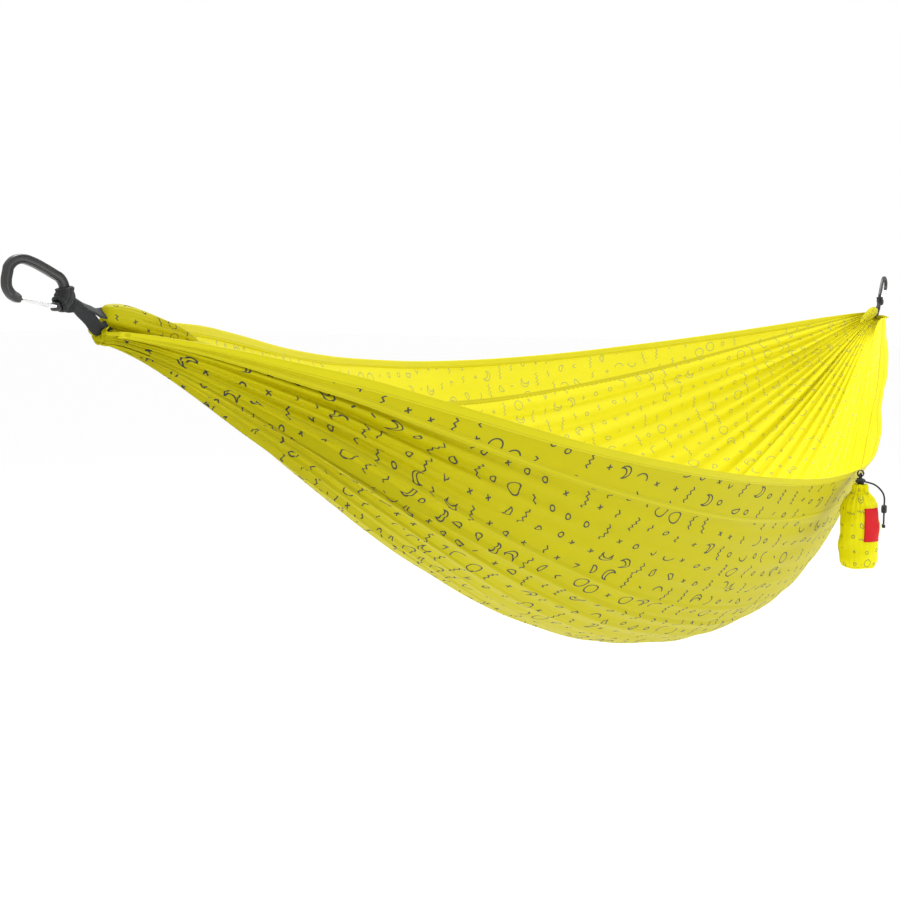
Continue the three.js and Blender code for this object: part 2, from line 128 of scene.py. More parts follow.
# panels: near band, centre, far band, each with its own cloth width
M = 260


def row_line(s, pa, pb):
    ph = np.linspace(pa, pb, M)
    P = base(np.full(M, s), ph)[:, 1:]
    L = np.concatenate([[0], np.cumsum(np.linalg.norm(np.diff(P, axis=0), axis=1))])
    return P, L


def arc_mid(pa, pb):
    return row_line(0.5, pa(0.5), pb(0.5))[1][-1]


f_seam_n = lambda s: phi_near(s) - BAND * (phi_near(s) / PN)
f_seam_f = lambda s: -(phi_far(s) - BAND * (phi_far(s) / PF))
GROUPS = {
    "near": (lambda s: phi_near(s), f_seam_n),
    "centre": (f_seam_n, f_seam_f),
    "far": (f_seam_f, lambda s: -phi_far(s)),
}


def make_cells(total, n, jitter, seed):
    r = np.random.RandomState(seed)
    w = 1 + jitter * (r.rand(n) * 2 - 1)
    return w / w.sum() * total


def build_group(name, cells, ncol, rho_mid, rho_min, seed, flatcols=None):
    """Rows x columns of points for one cloth panel. Every column is one thread: cloth that the
    row has no room for goes into folds that stand up on the inside."""
    r = np.random.RandomState(seed)
    fa, fb = GROUPS[name]
    W = arc_mid(fa, fb) / rho_mid
    cw = cells(W)
    n = len(cw)
    q, cell, u = [], [], []
    start = np.concatenate([[0], np.cumsum(cw)])
    for k in range(n):
        cols = np.linspace(0, 1, ncol + 1)[: -1 if k < n - 1 else None]
        for c in cols:
            q.append(start[k] + c * cw[k]); cell.append(k); u.append(c)
    q, cell, u = np.array(q), np.array(cell), np.array(u)
    C = len(q)
    mL, mR = 0.72 + 0.5 * r.rand(n), 0.65 + 0.6 * r.rand(n)
    mE = np.where(r.rand(n) < 0.45, 1.2, 0.70) * (0.85 + 0.3 * r.rand(n))
    sg = 0.17 + 0.09 * r.rand(n)
    lean = 0.55 * (r.rand(n) * 2 - 1)
    ctr = 0.5 + 0.12 * (r.rand(n) * 2 - 1)
    P = np.zeros((NR, C, 3)); Nn = np.zeros((NR, C, 3)); H = np.zeros((NR, C))
    dq = np.diff(q)
    for i, s in enumerate(S):
        line, L = row_line(s, fa(s), fb(s))
        arc = L[-1]
        rho = arc / W
        shrink = 1.0
        d = min(s, 1 - s)
        least = rho_min + (max(0.987, rho_min) - rho_min) * smooth(0.02, 0.26, d)
        if rho < least:
            shrink = max(rho / least, 0.25) if d < 0.03 else 1.0 - (1 - max(rho / least, 0.25)) * (1 - smooth(0.03, 0.12, d)); rho = least
        side = smooth(0.4, 0.6, s)
        m = (mL * (1 - side) + mR * side)
        k_end = 1 - smooth(0.10, 0.42, d)
        m = m * (1 - k_end) + mE * k_end
        sig = sg * (1 - 0.0 * k_end) + 0.10 * k_end
        z = (u - ctr[cell]) / sig[cell]
        g = -z * np.exp(0.5 * (1 - z * z))
        win = np.clip(1 - (2 * np.abs(u - 0.5)) ** 6, 0, 1)
        g = g * win * m[cell]
        if rho >= 0.999:
            th = np.zeros(C)
        else:
            lo, hi = 0.0, 2.6
            for _ in range(18):
                mid = (lo + hi) / 2
                th = np.clip(mid * g, -1.62, 1.62)
                c = np.cos(th)
                tot = ((c[1:] + c[:-1]) / 2 * dq).sum()
                if tot > rho * W:
                    lo = mid
                else:
                    hi = mid
            th = np.clip(mid * g, -1.62, 1.62)
        c, sn = np.cos(th), np.sin(th)
        x = np.concatenate([[0], np.cumsum((c[1:] + c[:-1]) / 2 * dq)])
        h = np.concatenate([[0], np.cumsum((sn[1:] + sn[:-1]) / 2 * dq)])
        # each fold starts and ends on the base line
        for k in range(n):
            a = k * ncol; b = (k + 1) * ncol if k < n - 1 else C - 1
            h[a:b + 1] -= h[a] + (h[b] - h[a]) * (x[a:b + 1] - x[a]) / max(x[b] - x[a], 1e-9)
        h = h * shrink
        x = x / x[-1] * arc
        rr = radius(s, 0.0)
        h = np.minimum(h, 0.62 * rr)
        x = x + h * (lean[cell] * (0.35 + 0.65 * k_end)) * np.minimum(1, rr / 0.2)
        x = np.clip(x, 0, arc)
        y = np.interp(x, L, line[:, 0]); zz = np.interp(x, L, line[:, 1])
        ty = np.interp(x, (L[1:] + L[:-1]) / 2, np.diff(line[:, 0]) / np.diff(L))
        tz = np.interp(x, (L[1:] + L[:-1]) / 2, np.diff(line[:, 1]) / np.diff(L))
        tl = np.hypot(ty, tz); ty, tz = ty / tl, tz / tl
        # outward normal in the row's plane: away from the axis
        ny, nz = -tz, ty
        flip = (ny * y + nz * (zz - axis_z(s))) < 0
        ny, nz = np.where(flip, -ny, ny), np.where(flip, -nz, nz)
        P[i, :, 0] = FL[0] + (FR[0] - FL[0]) * s
        P[i, :, 1] = y - ny * h
        P[i, :, 2] = zz - nz * h
        Nn[i, :, 1], Nn[i, :, 2] = ny, nz
        H[i] = h
    return dict(P=P, N=Nn, H=H, q=q, W=W)


def one_cell(W):
    return np.array([W])


G = {
    "near": build_group("near", one_cell, 18, 1.0, 1.0, 11),
    "centre": build_group("centre", lambda W: make_cells(W, 22, 0.26, 5), 12, 0.991, 0.89, 23),
    "far": build_group("far", one_cell, 18, 1.0, 1.0, 31),
}

# gentle unevenness of hanging cloth, the same for neighbouring panels
_ph = rng.rand(24) * 6.28


def uneven(P):
    x, y, z = P[..., 0], P[..., 1], P[..., 2]
    s = np.clip((x - FL[0]) / (FR[0] - FL[0]), 0, 1)
    a = np.arctan2(-y, -(z - axis_z(s)))
    w = np.clip(np.minimum(s, 1 - s) / 0.18, 0, 1)
    f = (0.0011 * np.sin(3.1 * s * 6.28 + 3 * a + _ph[0]) + 0.0009 * np.sin(5.3 * s * 6.28 - 5 * a + _ph[1])
         + 0.0008 * np.sin(2.7 * s * 6.28 + 9 * a + _ph[2]) + 0.0006 * np.sin(9 * s * 6.28 + 11 * a + _ph[3]))
    d = np.minimum(s, 1 - s) * 2.907
    cr = np.abs(np.sin(4.5 * a + 0.8 * np.sin(2 * a + _ph[4]) + np.where(s < 0.5, 0.4, 1.5))) ** 0.7
    return f * w - 0.0030 * np.exp(-d / 0.10) * (1 - cr)


for g in G.values():
    g["P"] = g["P"] + g["N"] * uneven(g["P"])[..., None]

# cloth length along the threads, for the print's scale
_mid = base(S, np.zeros(NR))
_len = np.concatenate([[0], np.cumsum(np.linalg.norm(np.diff(_mid, axis=0), axis=1))])
CLOTH_L = 3.15
U = _len / _len[-1] * CLOTH_L
# the cloth turns in on itself round the webbing at both ends
LIP = [(0.46, 0.0060), (0.60, 0.0010), (0.76, -0.0026), (0.90, -0.0034), (0.975, -0.0014)]
for g in G.values():
    first, last = g["P"][0], g["P"][-1]
    rows_a, rows_b = [], []
    for f, dx in LIP:
        c = np.array([FL[0] + dx, 0, axis_z(S[0])]); q = c + (first - np.array([first[0, 0], 0, axis_z(S[0])])) * f
        q[:, 0] = FL[0] + dx; rows_a.append(q)
        c = np.array([FR[0] - dx, 0, axis_z(S[-1])]); q = c + (last - np.array([last[0, 0], 0, axis_z(S[-1])])) * f
        q[:, 0] = FR[0] - dx; rows_b.append(q)
    g["P"] = np.concatenate([np.array(rows_a), g["P"], np.array(rows_b[::-1])])
    g["N"] = np.concatenate([np.repeat(g["N"][:1], len(LIP), 0), g["N"], np.repeat(g["N"][-1:], len(LIP), 0)])
_lu = np.array([0.026, 0.019, 0.0125, 0.0075, 0.0035])
U = np.concatenate([-_lu, U, U[-1] + _lu[::-1]])
# the print is drawn closer together along the cloth near the left end
_f = 1.0 + 0.24 * (1 - smooth(0.15, 1.5, U))
UP = np.concatenate([[U[0]], U[0] + np.cumsum(np.diff(U) * (_f[1:] + _f[:-1]) / 2)])


def grid_normals(P):
    a = np.gradient(P, axis=0); b = np.gradient(P, axis=1)
    n = np.cross(a, b)
    n /= np.linalg.norm(n, axis=-1)[..., None] + 1e-12
    return n


# ------------------------------------------------------------ mesh helpers
def new_mesh(name, verts, faces, uvs=None, mat_ids=None, mats=(), smooth_shade=True):
    me = bpy.data.meshes.new(name)
    verts = np.asarray(verts, np.float64); faces = np.asarray(faces, np.int64)
    if faces.ndim == 2:
        k = faces.shape[1]
        me.vertices.add(len(verts)); me.vertices.foreach_set("co", verts.ravel().astype(np.float32))
        me.loops.add(faces.size); me.loops.foreach_set("vertex_index", faces.ravel().astype(np.int32))
        me.polygons.add(len(faces))
        me.polygons.foreach_set("loop_start", (np.arange(len(faces)) * k).astype(np.int32))
        me.update(calc_edges=True)
    if uvs is not None:
        layer = me.uv_layers.new(name="uv")
        layer.data.foreach_set("uv", np.asarray(uvs)[faces.ravel()].astype(np.float32).ravel())
    for m in mats:
        me.materials.append(m)
    if mat_ids is not None:
        me.polygons.foreach_set("material_index", np.asarray(mat_ids, np.int32))
    me.polygons.foreach_set("use_smooth", [smooth_shade] * len(me.polygons))
    me.validate(); me.update()
    o = bpy.data.objects.new(name, me)
    bpy.context.scene.collection.objects.link(o)
    return o


def grid_faces(R, C, wrap=False, off=0):
    i, j = np.meshgrid(np.arange(R - 1), np.arange(C if wrap else C - 1), indexing="ij")
    k = (j + 1) % C if wrap else j + 1
    return np.stack([off + i * C + j, off + i * C + k, off + (i + 1) * C + k, off + (i + 1) * C + j], -1).reshape(-1, 4)


def face_out(o):
    bm = bmesh.new(); bm.from_mesh(o.data)
    bmesh.ops.recalc_face_normals(bm, faces=bm.faces)
    bm.to_mesh(o.data); bm.free(); o.data.update()
    return o


def shell_piece(name, P, N, uv, th, mats, outer=0, inner=1, uv_in=None):
    """Closed cloth shell: an outside layer and an inside layer, joined round the edge."""
    R, C = P.shape[:2]
    out, inn = P + N * th / 2, P - N * th / 2
    V = np.concatenate([out.reshape(-1, 3), inn.reshape(-1, 3)])
    fo = grid_faces(R, C); fi = grid_faces(R, C, off=R * C)[:, ::-1]
    rim = []
    n = R * C
    for j in range(C - 1):
        rim.append([j + 1, j, n + j, n + j + 1]); a = (R - 1) * C + j
        rim.append([a, a + 1, n + a + 1, n + a])
    for i in range(R - 1):
        a, b = i * C, (i + 1) * C
        rim.append([a, b, n + b, n + a]); a, b = a + C - 1, b + C - 1
        rim.append([b, a, n + a, n + b])
    F = np.concatenate([fo, fi, np.array(rim)])
    ids = np.concatenate([np.full(len(fo), outer), np.full(len(fi), inner), np.full(len(rim), outer)])
    o = new_mesh(name, V, F, np.concatenate([uv.reshape(-1, 2), (uv if uv_in is None else uv_in).reshape(-1, 2)]), ids, mats)
    vol = 0.0
    # faces point out when the outer layer's normals agree with N
    p = o.data.polygons[len(fo) // 2]
    if Vector(N.reshape(-1, 3)[p.vertices[0]]).dot(p.normal) < 0:
        o.data.flip_normals()
    return o


def tube_piece(name, rings, mats=(), uv_scale=(1, 1), caps=True, mat_ids=None, length=None):
    """Closed tube through rings of points (R x C x 3). UV: u along, v round."""
    R, C = rings.shape[:2]
    V = rings.reshape(-1, 3)
    F = [f for f in grid_faces(R, C, wrap=True)]
    ctr = rings.mean(1)
    u = np.concatenate([[0], np.cumsum(np.linalg.norm(np.diff(ctr, axis=0), axis=1))])
    uv = np.stack(np.broadcast_arrays(u[:, None] * uv_scale[0], np.arange(C)[None] / C * uv_scale[1]), -1).reshape(-1, 2)
    me = bpy.data.meshes.new(name)
    V2, F2 = V.tolist(), [list(map(int, f)) for f in F]
    uv2 = uv.tolist()
    if caps:
        for i, rev in ((0, True), (R - 1, False)):
            k = len(V2); V2.append(rings[i].mean(0).tolist()); uv2.append([u[i] * uv_scale[0], 0])
            for j in range(C):
                a, b = i * C + j, i * C + (j + 1) % C
                F2.append([k, b, a] if rev else [k, a, b])
    me.from_pydata(V2, [], F2)
    layer = me.uv_layers.new(name="uv")
    li = np.zeros(len(me.loops), np.int32); me.loops.foreach_get("vertex_index", li)
    layer.data.foreach_set("uv", np.array(uv2, np.float32)[li].ravel())
    for m in mats:
        me.materials.append(m)
    me.polygons.foreach_set("use_smooth", [True] * len(me.polygons))
    me.update()
    o = bpy.data.objects.new(name, me)
    bpy.context.scene.collection.objects.link(o)
    return face_out(o)


def smooth_line(points, n, closed=False):
    """Centripetal Catmull-Rom through points, n samples evenly spaced."""
    p = np.array(points, float)
    if closed:
        p = np.vstack([p[-2:], p, p[:2]])
    else:
        p = np.vstack([2 * p[0] - p[1], p, 2 * p[-1] - p[-2]])
    out = []
    for i in range(1, len(p) - 2):
        p0, p1, p2, p3 = p[i - 1:i + 3]
        t0 = 0; t1 = t0 + np.linalg.norm(p1 - p0) ** 0.5; t2 = t1 + np.linalg.norm(p2 - p1) ** 0.5; t3 = t2 + np.linalg.norm(p3 - p2) ** 0.5
        t = np.linspace(t1, t2, 24, endpoint=False)[:, None]
        a1 = (t1 - t) / (t1 - t0) * p0 + (t - t0) / (t1 - t0) * p1
        a2 = (t2 - t) / (t2 - t1) * p1 + (t - t1) / (t2 - t1) * p2
        a3 = (t3 - t) / (t3 - t2) * p2 + (t - t2) / (t3 - t2) * p3
        b1 = (t2 - t) / (t2 - t0) * a1 + (t - t0) / (t2 - t0) * a2
        b2 = (t3 - t) / (t3 - t1) * a2 + (t - t1) / (t3 - t1) * a3
        out.append((t2 - t) / (t2 - t1) * b1 + (t - t1) / (t2 - t1) * b2)
    out = np.vstack(out + [p[-2][None]])
    L = np.concatenate([[0], np.cumsum(np.linalg.norm(np.diff(out, axis=0), axis=1))])
    s = np.linspace(0, L[-1], n)
    return np.stack([np.interp(s, L, out[:, k]) for k in range(3)], -1)


def frames_along(line, up=(0, 0, 1)):
    """Tangent, side and up at each point, carried along without twisting."""
    T = np.gradient(line, axis=0); T /= np.linalg.norm(T, axis=1)[:, None]
    u = np.array(up, float); A, B = [], []
    for t in T:
        u = u - t * (u @ t)
        if np.linalg.norm(u) < 1e-6:
            u = np.array([1.0, 0, 0]) - t * t[0]
        u /= np.linalg.norm(u)
        B.append(u.copy()); A.append(np.cross(t, u))
    return T, np.array(A), np.array(B)


def tube_line(name, line, r, sides=14, mats=(), uv_scale=(1, 1), up=(0, 0, 1)):
    T, A, B = frames_along(line, up)
    t = np.arange(sides) / sides * 2 * math.pi
    r = np.broadcast_to(r, len(line))
    rings = line[:, None] + r[:, None, None] * (np.cos(t)[None, :, None] * A[:, None] + np.sin(t)[None, :, None] * B[:, None])
    return tube_piece(name, rings, mats, uv_scale)


# --------------------------------------------------------------- materials
class N:
    """A shader number, so that print patterns read like sums."""
    tree = None

    def __init__(self, s):
        self.s = s

    @staticmethod
    def op(kind, *args, clamp=False):
        n = N.tree.nodes.new("ShaderNodeMath"); n.operation = kind; n.use_clamp = clamp
        for i, a in enumerate(args):
            if isinstance(a, N):
                N.tree.links.new(a.s, n.inputs[i])
            else:
                n.inputs[i].default_value = a
        return N(n.outputs[0])

    def __add__(a, b): return N.op("ADD", a, b)
    def __radd__(a, b): return N.op("ADD", b, a)
    def __sub__(a, b): return N.op("SUBTRACT", a, b)
    def __rsub__(a, b): return N.op("SUBTRACT", b, a)
    def __mul__(a, b): return N.op("MULTIPLY", a, b)
    def __rmul__(a, b): return N.op("MULTIPLY", b, a)
    def __truediv__(a, b): return N.op("DIVIDE", a, b)
    def abs(a): return N.op("ABSOLUTE", a)
    def floor(a): return N.op("FLOOR", a)
    def fract(a): return N.op("FRACT", a)
    def sqrt(a): return N.op("SQRT", a)
    def min(a, b): return N.op("MINIMUM", a, b)
    def max(a, b): return N.op("MAXIMUM", a, b)
    def lt(a, b): return N.op("LESS_THAN", a, b)
    def gt(a, b): return N.op("GREATER_THAN", a, b)
    def sin(a): return N.op("SINE", a)
    def cos(a): return N.op("COSINE", a)


def principled(name):
    m = bpy.data.materials.new(name); m.use_nodes = True
    t = m.node_tree
    return m, t, t.nodes["Principled BSDF"], t.nodes["Material Output"]


def link(t, a, b):
    t.links.new(a, b)


def srgb(r, g, b):
    f = lambda c: (c / 255 / 12.92) if c / 255 <= 0.04045 else ((c / 255 + 0.055) / 1.055) ** 2.4
    return (f(r), f(g), f(b), 1)


def print_mask(t, cell=0.0335, seed=0.0, line=0.00092, soft=0.00035, along=1.45):
    """Scattered line drawings in metres of flat cloth: rings, arcs, crescents, half moons, crosses,
    zigzags, dashes and corners, one in each cell of a brick grid."""
    N.tree = t
    uvn = t.nodes.new("ShaderNodeUVMap"); uvn.uv_map = "uv"
    sep = t.nodes.new("ShaderNodeSeparateXYZ"); link(t, uvn.outputs[0], sep.inputs[0])
    u, v = N(sep.outputs[0]), N(sep.outputs[1])
    a = u / (cell * along)
    ca = a.floor()
    b = v / cell + (ca * 0.5).fract() * 1.0 + ca * 0.381
    cb = b.floor()

    def rnd(k):
        wn = t.nodes.new("ShaderNodeTexWhiteNoise"); wn.noise_dimensions = "3D"
        cx = t.nodes.new("ShaderNodeCombineXYZ")
        link(t, ca.s, cx.inputs[0]); link(t, cb.s, cx.inputs[1]); cx.inputs[2].default_value = k + seed
        link(t, cx.outputs[0], wn.inputs["Vector"])
        return N(wn.outputs["Value"])
    r1, r2, r3, r4 = rnd(1.3), rnd(2.7), rnd(4.1), rnd(6.9)
    px = (a - ca - 0.5 + (r3 - 0.5) * 0.30) * cell
    py = (b - cb - 0.5 + (r4 - 0.5) * 0.20) * cell
    # zigzags and crosses stay nearly upright across the cloth, the rest turn freely
    free = r1.gt(0.44)
    ang = (r2 - 0.5) * (free * 5.6 + 0.55)
    cs, sn = ang.cos(), ang.sin()
    x = px * cs - py * sn
    y = px * sn + py * cs
    ax, ay = x.abs(), y.abs()
    rad = (x * x + y * y).sqrt()
    BIG = 1.0

    def clip(d, inside):          # keeps d where inside is 1
        return d + (1.0 - inside) * BIG
    half = 0.5
    # zigzag
    per = 0.0080
    tri = ((y / per + 0.25).fract() - 0.5).abs() - 0.25
    d_zig = clip(((x - tri * 0.0092).abs()) * 0.75, ay.lt(0.0140))
    # short zigzag
    d_zig2 = clip(((x - tri * 0.0080).abs()) * 0.75, ay.lt(0.0068))
    # cross
    xr = x * 0.88 - y * 0.475
    yr = x * 0.475 + y * 0.88
    d_plus = clip(xr.abs().min(yr.abs()), xr.abs().max(yr.abs()).lt(0.0046))
    d_small = (rad - 0.0040).abs()
    d_big = (rad - 0.0098).abs()
    d_arc = clip((rad - 0.0098).abs(), x.lt(-0.0015))
    rad2 = ((x + 0.0058) * (x + 0.0058) + y * y).sqrt()
    inner = clip((rad2 - 0.0088).abs(), rad.lt(0.0102) * x.gt(-0.0058))
    outer = clip((rad - 0.0098).abs(), rad2.gt(0.0084))
    d_cres = inner.min(outer)
    d_moon = clip((rad - 0.0075).abs(), x.gt(0.0)).min(clip(ax, ay.lt(0.0079)))
    d_dash = clip(ax, ay.lt(0.0036))
    d_vee = clip((y - ax * 1.5 + 0.004).abs() * 0.55, ax.lt(0.0046))
    table = [(0.20, d_zig), (0.29, d_zig2), (0.44, d_plus), (0.58, d_small), (0.64, d_big), (0.74, d_arc),
             (0.83, d_cres), (0.90, d_moon), (0.95, d_dash), (1.01, d_vee)]
    d = None
    low = -0.01
    for hi, s in table:
        pick = r1.gt(low) * r1.lt(hi)
        e = s + (1.0 - pick) * BIG
        d = e if d is None else d.min(e)
        low = hi - 1e-6
    mask = N.op("MULTIPLY", (line + soft - d), 1.0 / soft, clamp=True)
    return mask


def cloth_extras(t, bsdf, rough, weave=0.00028, bump=0.05):
    """Fine weave and soft creasing in the cloth, as bump, in metres of flat cloth."""
    uvn = t.nodes.new("ShaderNodeUVMap"); uvn.uv_map = "uv"
    wv = t.nodes.new("ShaderNodeTexWave"); wv.wave_type = "BANDS"; wv.bands_direction = "X"
    wv.inputs["Scale"].default_value = 0.314 / weave / 2; wv.inputs["Distortion"].default_value = 0.0
    wh = t.nodes.new("ShaderNodeTexWave"); wh.wave_type = "BANDS"; wh.bands_direction = "Y"
    wh.inputs["Scale"].default_value = 0.314 / weave / 2
    for w in (wv, wh):
        link(t, uvn.outputs[0], w.inputs["Vector"])
    N.tree = t
    wsum = N(wv.outputs["Fac"]) * N(wh.outputs["Fac"])
    geo = t.nodes.new("ShaderNodeTexCoord")
    nz = t.nodes.new("ShaderNodeTexNoise"); nz.inputs["Scale"].default_value = 38; nz.inputs["Detail"].default_value = 5
    nz.inputs["Roughness"].default_value = 0.62
    mp = t.nodes.new("ShaderNodeMapping"); mp.inputs["Scale"].default_value = (0.22, 1.0, 1.0)
    link(t, geo.outputs["Object"], mp.inputs["Vector"]); link(t, mp.outputs[0], nz.inputs["Vector"])
    b1 = t.nodes.new("ShaderNodeBump"); b1.inputs["Distance"].default_value = 0.0001; b1.inputs["Strength"].default_value = bump * 4
    link(t, wsum.s, b1.inputs["Height"])
    b2 = t.nodes.new("ShaderNodeBump"); b2.inputs["Distance"].default_value = 0.0035; b2.inputs["Strength"].default_value = 0.35
    link(t, nz.outputs["Fac"], b2.inputs["Height"]); link(t, b1.outputs[0], b2.inputs["Normal"])
    link(t, b2.outputs[0], bsdf.inputs["Normal"])
    rr = N.op("MULTIPLY_ADD", N(nz.outputs["Fac"]), 0.16, rough - 0.08)
    link(t, rr.s, bsdf.inputs["Roughness"])
    return nz, b2


def cloth_material(name, base, ink, ink_strength, seed=0.0, along=1.45, trans=0.22, rough=0.5, printed=True, spec=0.12):
    m, t, p, out = principled(name)
    nz, bump = cloth_extras(t, p, rough)
    p.inputs["Sheen Weight"].default_value = 0.0
    p.inputs["Specular IOR Level"].default_value = spec
    tone = t.nodes.new("ShaderNodeMix"); tone.data_type = "RGBA"
    link(t, nz.outputs["Fac"], tone.inputs[0])
    b = np.array(base[:3])
    tone.inputs[6].default_value = (*np.clip(b * 0.955, 0, 1), 1); tone.inputs[7].default_value = (*np.clip(b * 1.035, 0, 1), 1)
    col = tone.outputs[2]
    if printed:
        mask = print_mask(t, seed=seed, along=along)
        mx = t.nodes.new("ShaderNodeMix"); mx.data_type = "RGBA"
        link(t, (mask * ink_strength).s, mx.inputs[0]); link(t, col, mx.inputs[6]); mx.inputs[7].default_value = ink
        col = mx.outputs[2]
    link(t, col, p.inputs["Base Color"])
    tr = t.nodes.new("ShaderNodeBsdfTranslucent"); link(t, col, tr.inputs["Color"])
    link(t, bump.outputs[0], tr.inputs["Normal"])
    mixs = t.nodes.new("ShaderNodeMixShader"); mixs.inputs[0].default_value = trans
    link(t, p.outputs[0], mixs.inputs[1]); link(t, tr.outputs[0], mixs.inputs[2]); link(t, mixs.outputs[0], out.inputs[0])
    return m


# one yellow nylon in lit and shaded copies: the outside (also used for the gathered ends) is painted darker as shade
# and the inside painted brighter as light; the inside's paler ink is the print showing through
YEL = srgb(205, 197, 0)
YEL_IN = srgb(238, 231, 34)
INK = srgb(50, 55, 72)
INK_IN = srgb(170, 172, 118)
m_out = cloth_material("nylon_outside", YEL, INK, 0.93, seed=0.0)
m_in = cloth_material("nylon_inside", YEL_IN, INK_IN, 0.72, seed=0.0, trans=0.16)
m_sack = cloth_material("nylon_sack", srgb(250, 244, 18), srgb(124, 126, 96), 0.75, seed=3.0, along=1.0)
m_bundle = cloth_material("nylon_gathered", YEL, INK, 0.9, seed=14.0, along=1.0)


def stitched(name, base, thread, rows=(0.003, 0.009), pitch=0.0034, width=0.0008, printed=0.0):
    """Sewn strip: uv in metres, u along the seam, v across it; stitches run at the given v."""
    m, t, p, out = principled(name)
    nz, bump = cloth_extras(t, p, 0.5)
    N.tree = t
    uvn = t.nodes.new("ShaderNodeUVMap"); uvn.uv_map = "uv"
    sep = t.nodes.new("ShaderNodeSeparateXYZ"); link(t, uvn.outputs[0], sep.inputs[0])
    u, v = N(sep.outputs[0]), N(sep.outputs[1])
    on = (u / pitch).fract().lt(0.72)
    mask = None
    for r in rows:
        k = (v - r).abs().lt(width / 2)
        mask = k if mask is None else mask.max(k)
    mask = mask * on
    mx = t.nodes.new("ShaderNodeMix"); mx.data_type = "RGBA"
    link(t, mask.s, mx.inputs[0])
    tone = t.nodes.new("ShaderNodeMix"); tone.data_type = "RGBA"
    link(t, nz.outputs["Fac"], tone.inputs[0]); b = np.array(base[:3])
    tone.inputs[6].default_value = (*np.clip(b * 0.93, 0, 1), 1); tone.inputs[7].default_value = (*np.clip(b * 1.03, 0, 1), 1)
    link(t, tone.outputs[2], mx.inputs[6]); mx.inputs[7].default_value = thread
    link(t, mx.outputs[2], p.inputs["Base Color"])
    p.inputs["Sheen Weight"].default_value = 0.0; p.inputs["Specular IOR Level"].default_value = 0.15
    tr = t.nodes.new("ShaderNodeBsdfTranslucent"); link(t, mx.outputs[2], tr.inputs["Color"])
    mixs = t.nodes.new("ShaderNodeMixShader"); mixs.inputs[0].default_value = 0.12
    link(t, p.outputs[0], mixs.inputs[1]); link(t, tr.outputs[0], mixs.inputs[2]); link(t, mixs.outputs[0], out.inputs[0])
    return m


m_hem = stitched("nylon_hem", srgb(222, 214, 8), srgb(186, 178, 10), rows=(0.0105,))
m_seam = stitched("nylon_seam", srgb(210, 202, 4), srgb(180, 171, 10), rows=(0.0018, 0.0072))

# webbing: dark ribs across its length
def webbing_material(name, pitch=0.0024):
    m, t, p, out = principled(name)
    N.tree = t
    uvn = t.nodes.new("ShaderNodeUVMap"); uvn.uv_map = "uv"
    sep = t.nodes.new("ShaderNodeSeparateXYZ"); link(t, uvn.outputs[0], sep.inputs[0])
    u, v = N(sep.outputs[0]), N(sep.outputs[1])
    rib = ((u / pitch).fract() - 0.5).abs() * 2.0
    yarn = ((v / 0.0011 + (u / pitch).floor() * 0.5).fract() - 0.5).abs() * 2.0
    h = rib * 0.7 + yarn * 0.3
    nz = t.nodes.new("ShaderNodeTexNoise"); nz.inputs["Scale"].default_value = 900; nz.inputs["Detail"].default_value = 3
    tc = t.nodes.new("ShaderNodeTexCoord"); link(t, tc.outputs["Object"], nz.inputs["Vector"])
    f = h * 0.75 + N(nz.outputs["Fac"]) * 0.25
    ramp = t.nodes.new("ShaderNodeMix"); ramp.data_type = "RGBA"
    link(t, f.s, ramp.inputs[0]); ramp.inputs[6].default_value = srgb(54, 55, 57); ramp.inputs[7].default_value = srgb(15, 15, 17)
    link(t, ramp.outputs[2], p.inputs["Base Color"])
    bump = t.nodes.new("ShaderNodeBump"); bump.inputs["Distance"].default_value = 0.0005; bump.inputs["Strength"].default_value = 0.8
    bump.invert = True
    link(t, f.s, bump.inputs["Height"]); link(t, bump.outputs[0], p.inputs["Normal"])
    p.inputs["Roughness"].default_value = 0.78
    p.inputs["Sheen Weight"].default_value = 0.08; p.inputs["Specular IOR Level"].default_value = 0.3
    return m


m_web = webbing_material("webbing")


